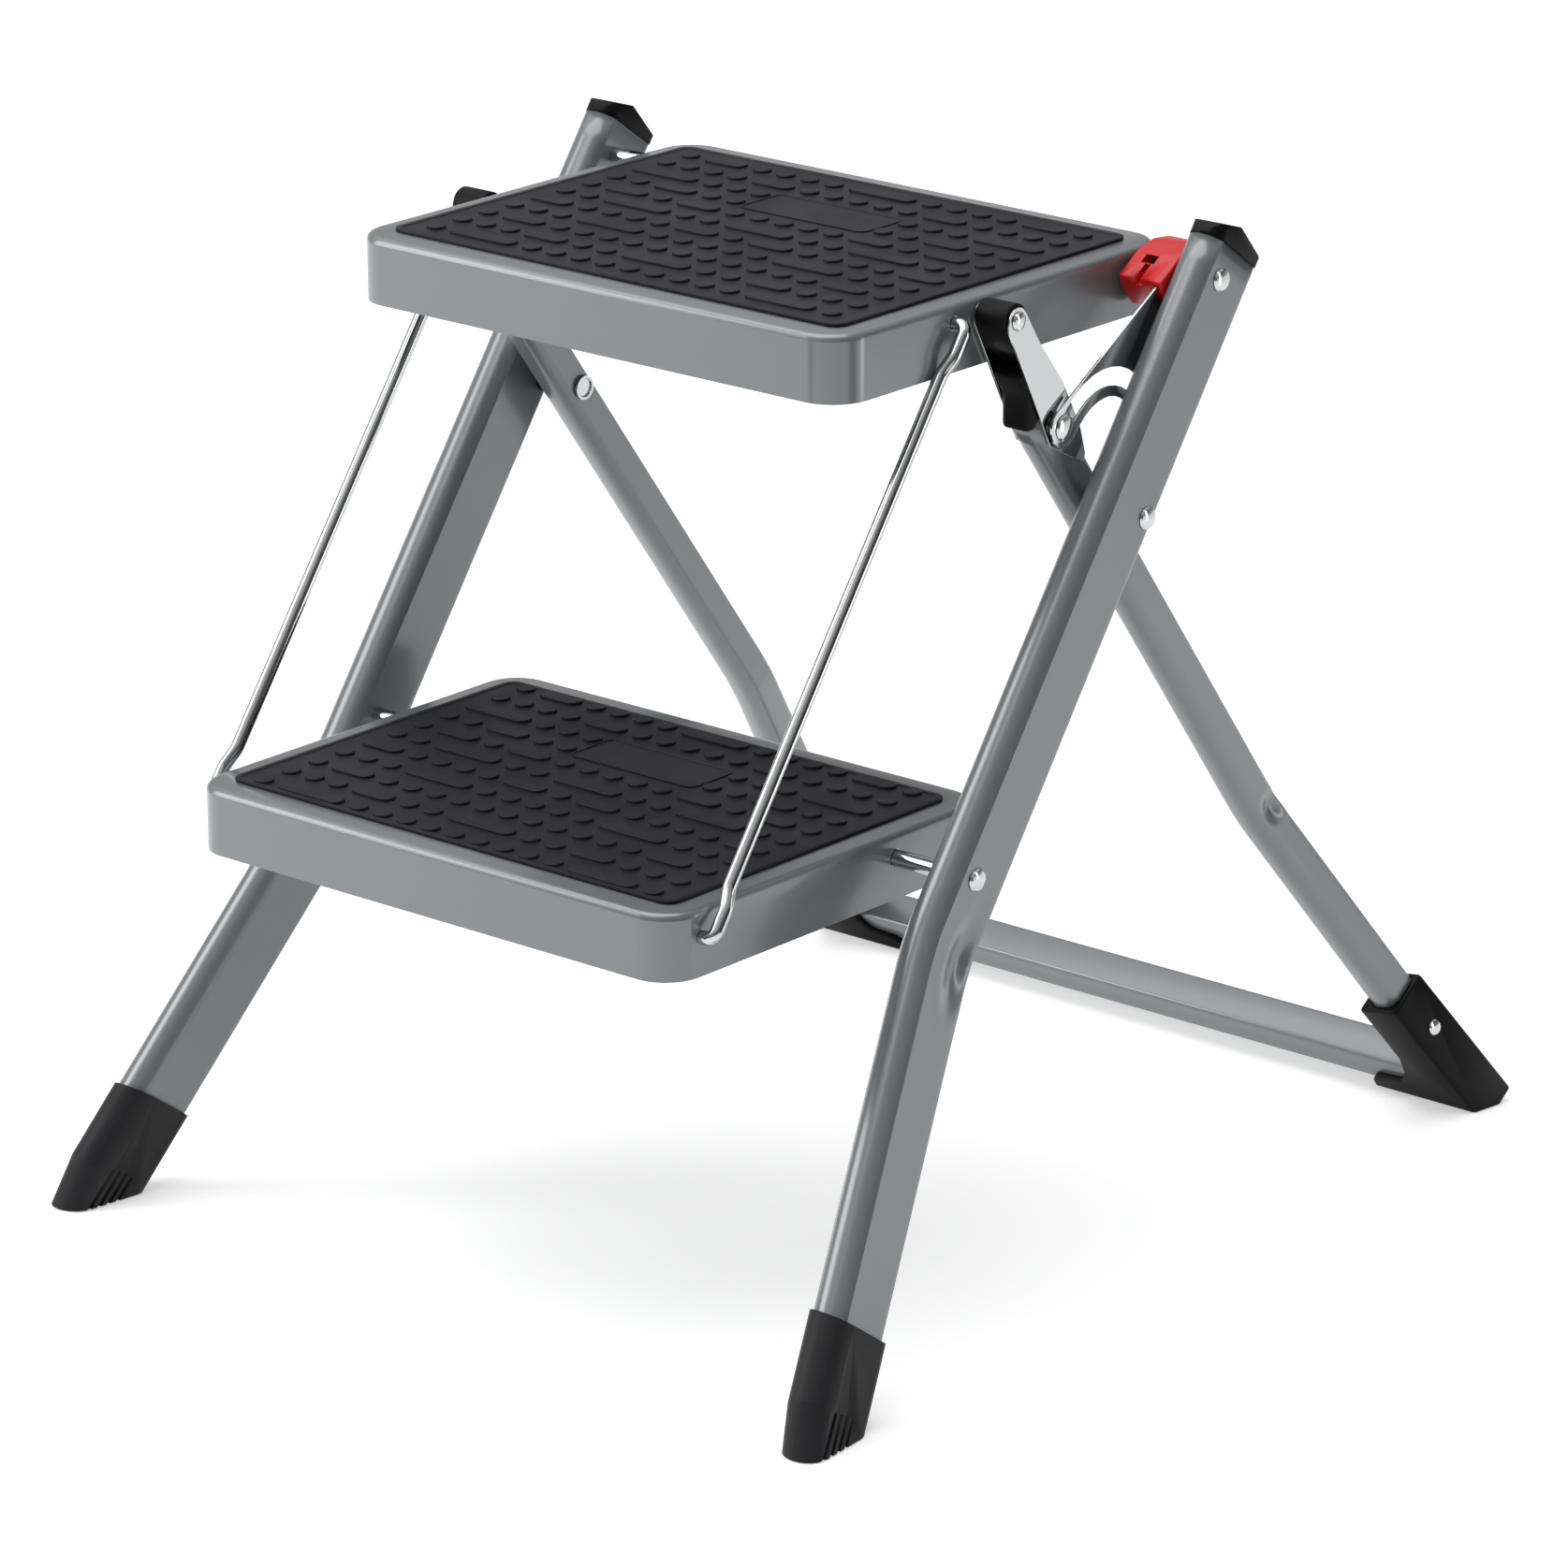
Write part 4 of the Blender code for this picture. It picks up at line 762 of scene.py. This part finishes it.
def grip_places():
    """Centre (column, row) and length in cells of every stud and bar."""
    for row, lengths in enumerate(GRIP_ROWS):
        column = 0
        for mark in lengths:
            cells = PANEL_CELLS if mark == "P" else int(mark)
            if mark != "P":
                yield column + (cells - 1) / 2.0, row, cells
            column += cells


print("studs and bars on a mat:", len(list(grip_places())))


# %% Studs and bars
def add_stud(bm, x, y, z, cells):
    """A low disc, stretched into a bar where it covers more than one cell. Returns the edges of its top."""
    turn = Matrix.Rotation(radians(10.0), 4, "Z")
    made = bmesh.ops.create_cone(bm, cap_ends=True, segments=STUD_SIDES, radius1=STUD_RADIUS,
                                 radius2=STUD_RADIUS - STUD_TAPER, depth=STUD_RISE + STUD_ROOT,
                                 matrix=turn)["verts"]
    stretch = (cells - 1) * CELL_ACROSS / 2.0
    for vert in made:
        vert.co.x += stretch if vert.co.x > 0.0 else -stretch
        vert.co += Vector((x, y, z + STUD_RISE / 2.0 - STUD_ROOT / 2.0))
    ring = {v for v in made if v.co.z > z + STUD_RISE * 0.9}
    return [e for v in ring for e in v.link_edges if e.other_vert(v) in ring and e.verts[0] is v]


# %% [markdown]
# The bare panel has a fine raised line round it. It is a rounded plate whose top is inset and pushed
# down again, so that only the line stands up.

# %% The bare panel
PANEL_SIZE = (0.0765, 0.0320)
PANEL_LINE = 0.0007
PANEL_THICK = 0.0010
PANEL_CORNER = 0.005
LINE_SLOPE = 0.0003
LINE_RISE = 0.00045
UPRIGHT = 0.0005


def add_panel(bm, x, y, z):
    made = bmesh.ops.create_cube(bm, size=1.0)["verts"]
    bmesh.ops.scale(bm, vec=(PANEL_SIZE[0], PANEL_SIZE[1], PANEL_THICK), verts=made)
    bmesh.ops.translate(bm, vec=(x, y, z), verts=made)
    upright = {e for v in made for e in v.link_edges if abs(e.verts[0].co.z - e.verts[1].co.z) > UPRIGHT}
    cut = bmesh.ops.bevel(bm, geom=list(upright), offset=PANEL_CORNER, segments=5, profile=0.5,
                          affect="EDGES", material=-1)
    around = {f for face in cut["faces"] for e in face.edges for f in e.link_faces}
    roof = max(around, key=lambda f: f.calc_center_median().z + f.calc_area())
    bmesh.ops.inset_region(bm, faces=[roof], thickness=PANEL_LINE, depth=0.0)
    bmesh.ops.inset_region(bm, faces=[roof], thickness=LINE_SLOPE, depth=-LINE_RISE)


# %% [markdown]
# The mat itself is a thin plate with rounded corners. A fine groove runs round it just inside its rim.

# %% Mould the mats
MAT_CORNER = 0.007
MAT_EDGE = 0.0006
MAT_RIM = 0.0022
GROOVE_WIDE = 0.0005
GROOVE_DEEP = 0.0004
MIDDLE_COLUMN = 8.0
MIDDLE_ROW = 5.0
PANEL_ROWS_BACK = 2.5


def mat_piece(name):
    low, high = (Vector(corner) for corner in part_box(name))
    middle = (low + high) / 2.0
    size = high - low
    bm = bmesh.new()
    bmesh.ops.create_cube(bm, size=1.0)
    surface = high.z - STUD_RISE * 0.5
    bmesh.ops.scale(bm, vec=(size.x, size.y, surface - low.z), verts=bm.verts)
    bmesh.ops.translate(bm, vec=(middle.x, middle.y, (surface + low.z) / 2.0), verts=bm.verts)
    corners = [e for e in bm.edges if abs(e.verts[0].co.z - e.verts[1].co.z) > UPRIGHT]
    bmesh.ops.bevel(bm, geom=corners, offset=MAT_CORNER, segments=6, profile=0.5, affect="EDGES",
                      material=-1)
    top = [e for e in bm.edges if min(v.co.z for v in e.verts) > middle.z]
    bmesh.ops.bevel(bm, geom=top, offset=MAT_EDGE, segments=2, profile=0.5, affect="EDGES", material=-1)
    roof = max(bm.faces, key=lambda f: f.normal.z * f.calc_area())
    bmesh.ops.inset_region(bm, faces=[roof], thickness=MAT_RIM, depth=0.0)
    bmesh.ops.inset_region(bm, faces=[roof], thickness=GROOVE_WIDE, depth=-GROOVE_DEEP)
    surface = roof.calc_center_median().z
    add_panel(bm, middle.x, middle.y + PANEL_ROWS_BACK * CELL_DEEP, surface)
    rims = []
    for column, row, cells in grip_places():
        x = middle.x + (column - MIDDLE_COLUMN) * CELL_ACROSS
        y = middle.y + (MIDDLE_ROW - row) * CELL_DEEP
        rims += add_stud(bm, x, y, surface, cells)
    bmesh.ops.bevel(bm, geom=rims, offset=STUD_EDGE, segments=1, profile=0.5, affect="EDGES", material=-1)
    piece = shown_piece(name, bm, FINISHES["mat_rubber"], CRISP_ANGLE)
    print(name, "faces:", len(piece.data.polygons))


mat_piece("top_mat")
mat_piece("lower_mat")

# %% [markdown]
# ## Floor and light
# The photograph is a studio shot on white. One large soft light stands above, one to the left and a weak
# strip to the right, and the white floor glows a little. The world is a soft gradient, so that the
# plated parts have something to reflect.

# %% The floor
FLOOR_HALF = 9.0
FLOOR_GLOW = 0.42
FLOOR_WHITE = 0.80
FLOOR_BELOW = 0.0006
SHEET_ROUGHNESS = 0.9


def stage_sheet(name, half, color, glow, place):
    """A flat sheet of the studio: the floor, or a dark card that only reflections see."""
    sheet_mesh = bpy.data.meshes.new(name)
    bm = bmesh.new()
    bmesh.ops.create_grid(bm, x_segments=1, y_segments=1, size=1.0)
    bmesh.ops.scale(bm, vec=(half[0], half[1], 1.0), verts=bm.verts)
    bmesh.ops.transform(bm, matrix=place, verts=bm.verts)
    bm.to_mesh(sheet_mesh)
    bm.free()
    sheet = bpy.data.objects.new(name, sheet_mesh)
    bpy.context.scene.collection.objects.link(sheet)
    paper = bpy.data.materials.new(name)
    paper.use_nodes = True
    surface = paper.node_tree.nodes["Principled BSDF"]
    surface.inputs["Base Color"].default_value = (color, color, color, 1.0)
    surface.inputs["Roughness"].default_value = SHEET_ROUGHNESS
    surface.inputs["Emission Color"].default_value = (1.0, 1.0, 1.0, 1.0)
    surface.inputs["Emission Strength"].default_value = glow
    sheet_mesh.materials.append(paper)
    return sheet


floor_place = Matrix.Translation((0.0, 0.0, -FLOOR_BELOW))
stage_sheet("studio_floor", (FLOOR_HALF, FLOOR_HALF), FLOOR_WHITE, FLOOR_GLOW, floor_place)

# %% [markdown]
# Bright metal shows its shape only by what it mirrors. Two dark cards stand outside the picture, right
# and left of the stool, as a photographer would put them, and give the plated wires and plates their
# dark streaks.

# %% Dark cards for the bright metal
CARD_GREY = 0.02


def dark_card(name, azimuth, distance, wide, high):
    """A standing card, turned to the stool. Azimuth runs from -Y towards +X."""
    a = radians(azimuth)
    stand = Matrix.Translation((distance * sin(a), -distance * cos(a), high / 2.0))
    turn = Matrix.Rotation(a, 4, "Z") @ Matrix.Rotation(pi / 2.0, 4, "X")
    card = stage_sheet(name, (wide / 2.0, high / 2.0), CARD_GREY, 0.0, stand @ turn)
    card.visible_camera = False
    card.visible_shadow = False


dark_card("right_card", 88.0, 1.20, 0.40, 0.60)
dark_card("left_card", -14.0, 1.60, 0.30, 0.90)


# %% The lights
def soft_light(name, place, aim, size, power):
    lamp = bpy.data.lights.new(name, "AREA")
    lamp.shape = "RECTANGLE"
    lamp.size = size[0]
    lamp.size_y = size[1]
    lamp.energy = power
    holder = bpy.data.objects.new(name, lamp)
    holder.location = place
    holder.rotation_euler = (Vector(place) - Vector(aim)).to_track_quat("Z", "Y").to_euler()
    bpy.context.scene.collection.objects.link(holder)


STOOL_MIDDLE = (0.0, 0.0, 0.25)
soft_light("ceiling_box", (-0.3, -0.4, 2.6), STOOL_MIDDLE, (2.6, 2.6), 48.0)
soft_light("left_box", (-2.2, -1.8, 1.5), STOOL_MIDDLE, (1.4, 1.8), 34.0)
soft_light("right_strip", (1.36, 0.63, 0.40), STOOL_MIDDLE, (0.12, 0.80), 1.7)

# %% The world behind the lights
SKY_BANDS = ((0.00, 0.85), (0.10, 0.45), (0.30, 0.28), (0.48, 0.60), (0.62, 1.00))
LEFT_SHARE = 1.15
RIGHT_SHARE = 0.28
world = bpy.data.worlds.new("studio_world")
bpy.context.scene.world = world
world.use_nodes = True
sky = world.node_tree
background = sky.nodes["Background"]
direction = node(sky, "ShaderNodeTexCoord", (-900, 0))
split = node(sky, "ShaderNodeSeparateXYZ", (-700, 0))
bands = node(sky, "ShaderNodeValToRGB", (-450, 0))
sky.links.new(direction.outputs["Generated"], split.inputs["Vector"])
sky.links.new(split.outputs["Z"], bands.inputs["Fac"])
fade = node(sky, "ShaderNodeMapRange", (-450, -300))
fade.inputs["From Min"].default_value = -1.0
fade.inputs["To Min"].default_value = LEFT_SHARE
fade.inputs["To Max"].default_value = RIGHT_SHARE
shaded = node(sky, "ShaderNodeVectorMath", (-150, 0), operation="SCALE")
sky.links.new(split.outputs["X"], fade.inputs["Value"])
sky.links.new(bands.outputs["Color"], shaded.inputs["Vector"])
sky.links.new(fade.outputs["Result"], shaded.inputs["Scale"])
sky.links.new(shaded.outputs["Vector"], background.inputs["Color"])
bands.color_ramp.elements[0].position = SKY_BANDS[0][0]
bands.color_ramp.elements[1].position = SKY_BANDS[-1][0]
for place, _ in SKY_BANDS[1:-1]:
    bands.color_ramp.elements.new(place)
for band, (_, level) in zip(bands.color_ramp.elements, SKY_BANDS):
    band.color = (level, level, level, 1.0)
background.inputs["Strength"].default_value = 1.0
bpy.context.scene.view_settings.view_transform = "Standard"
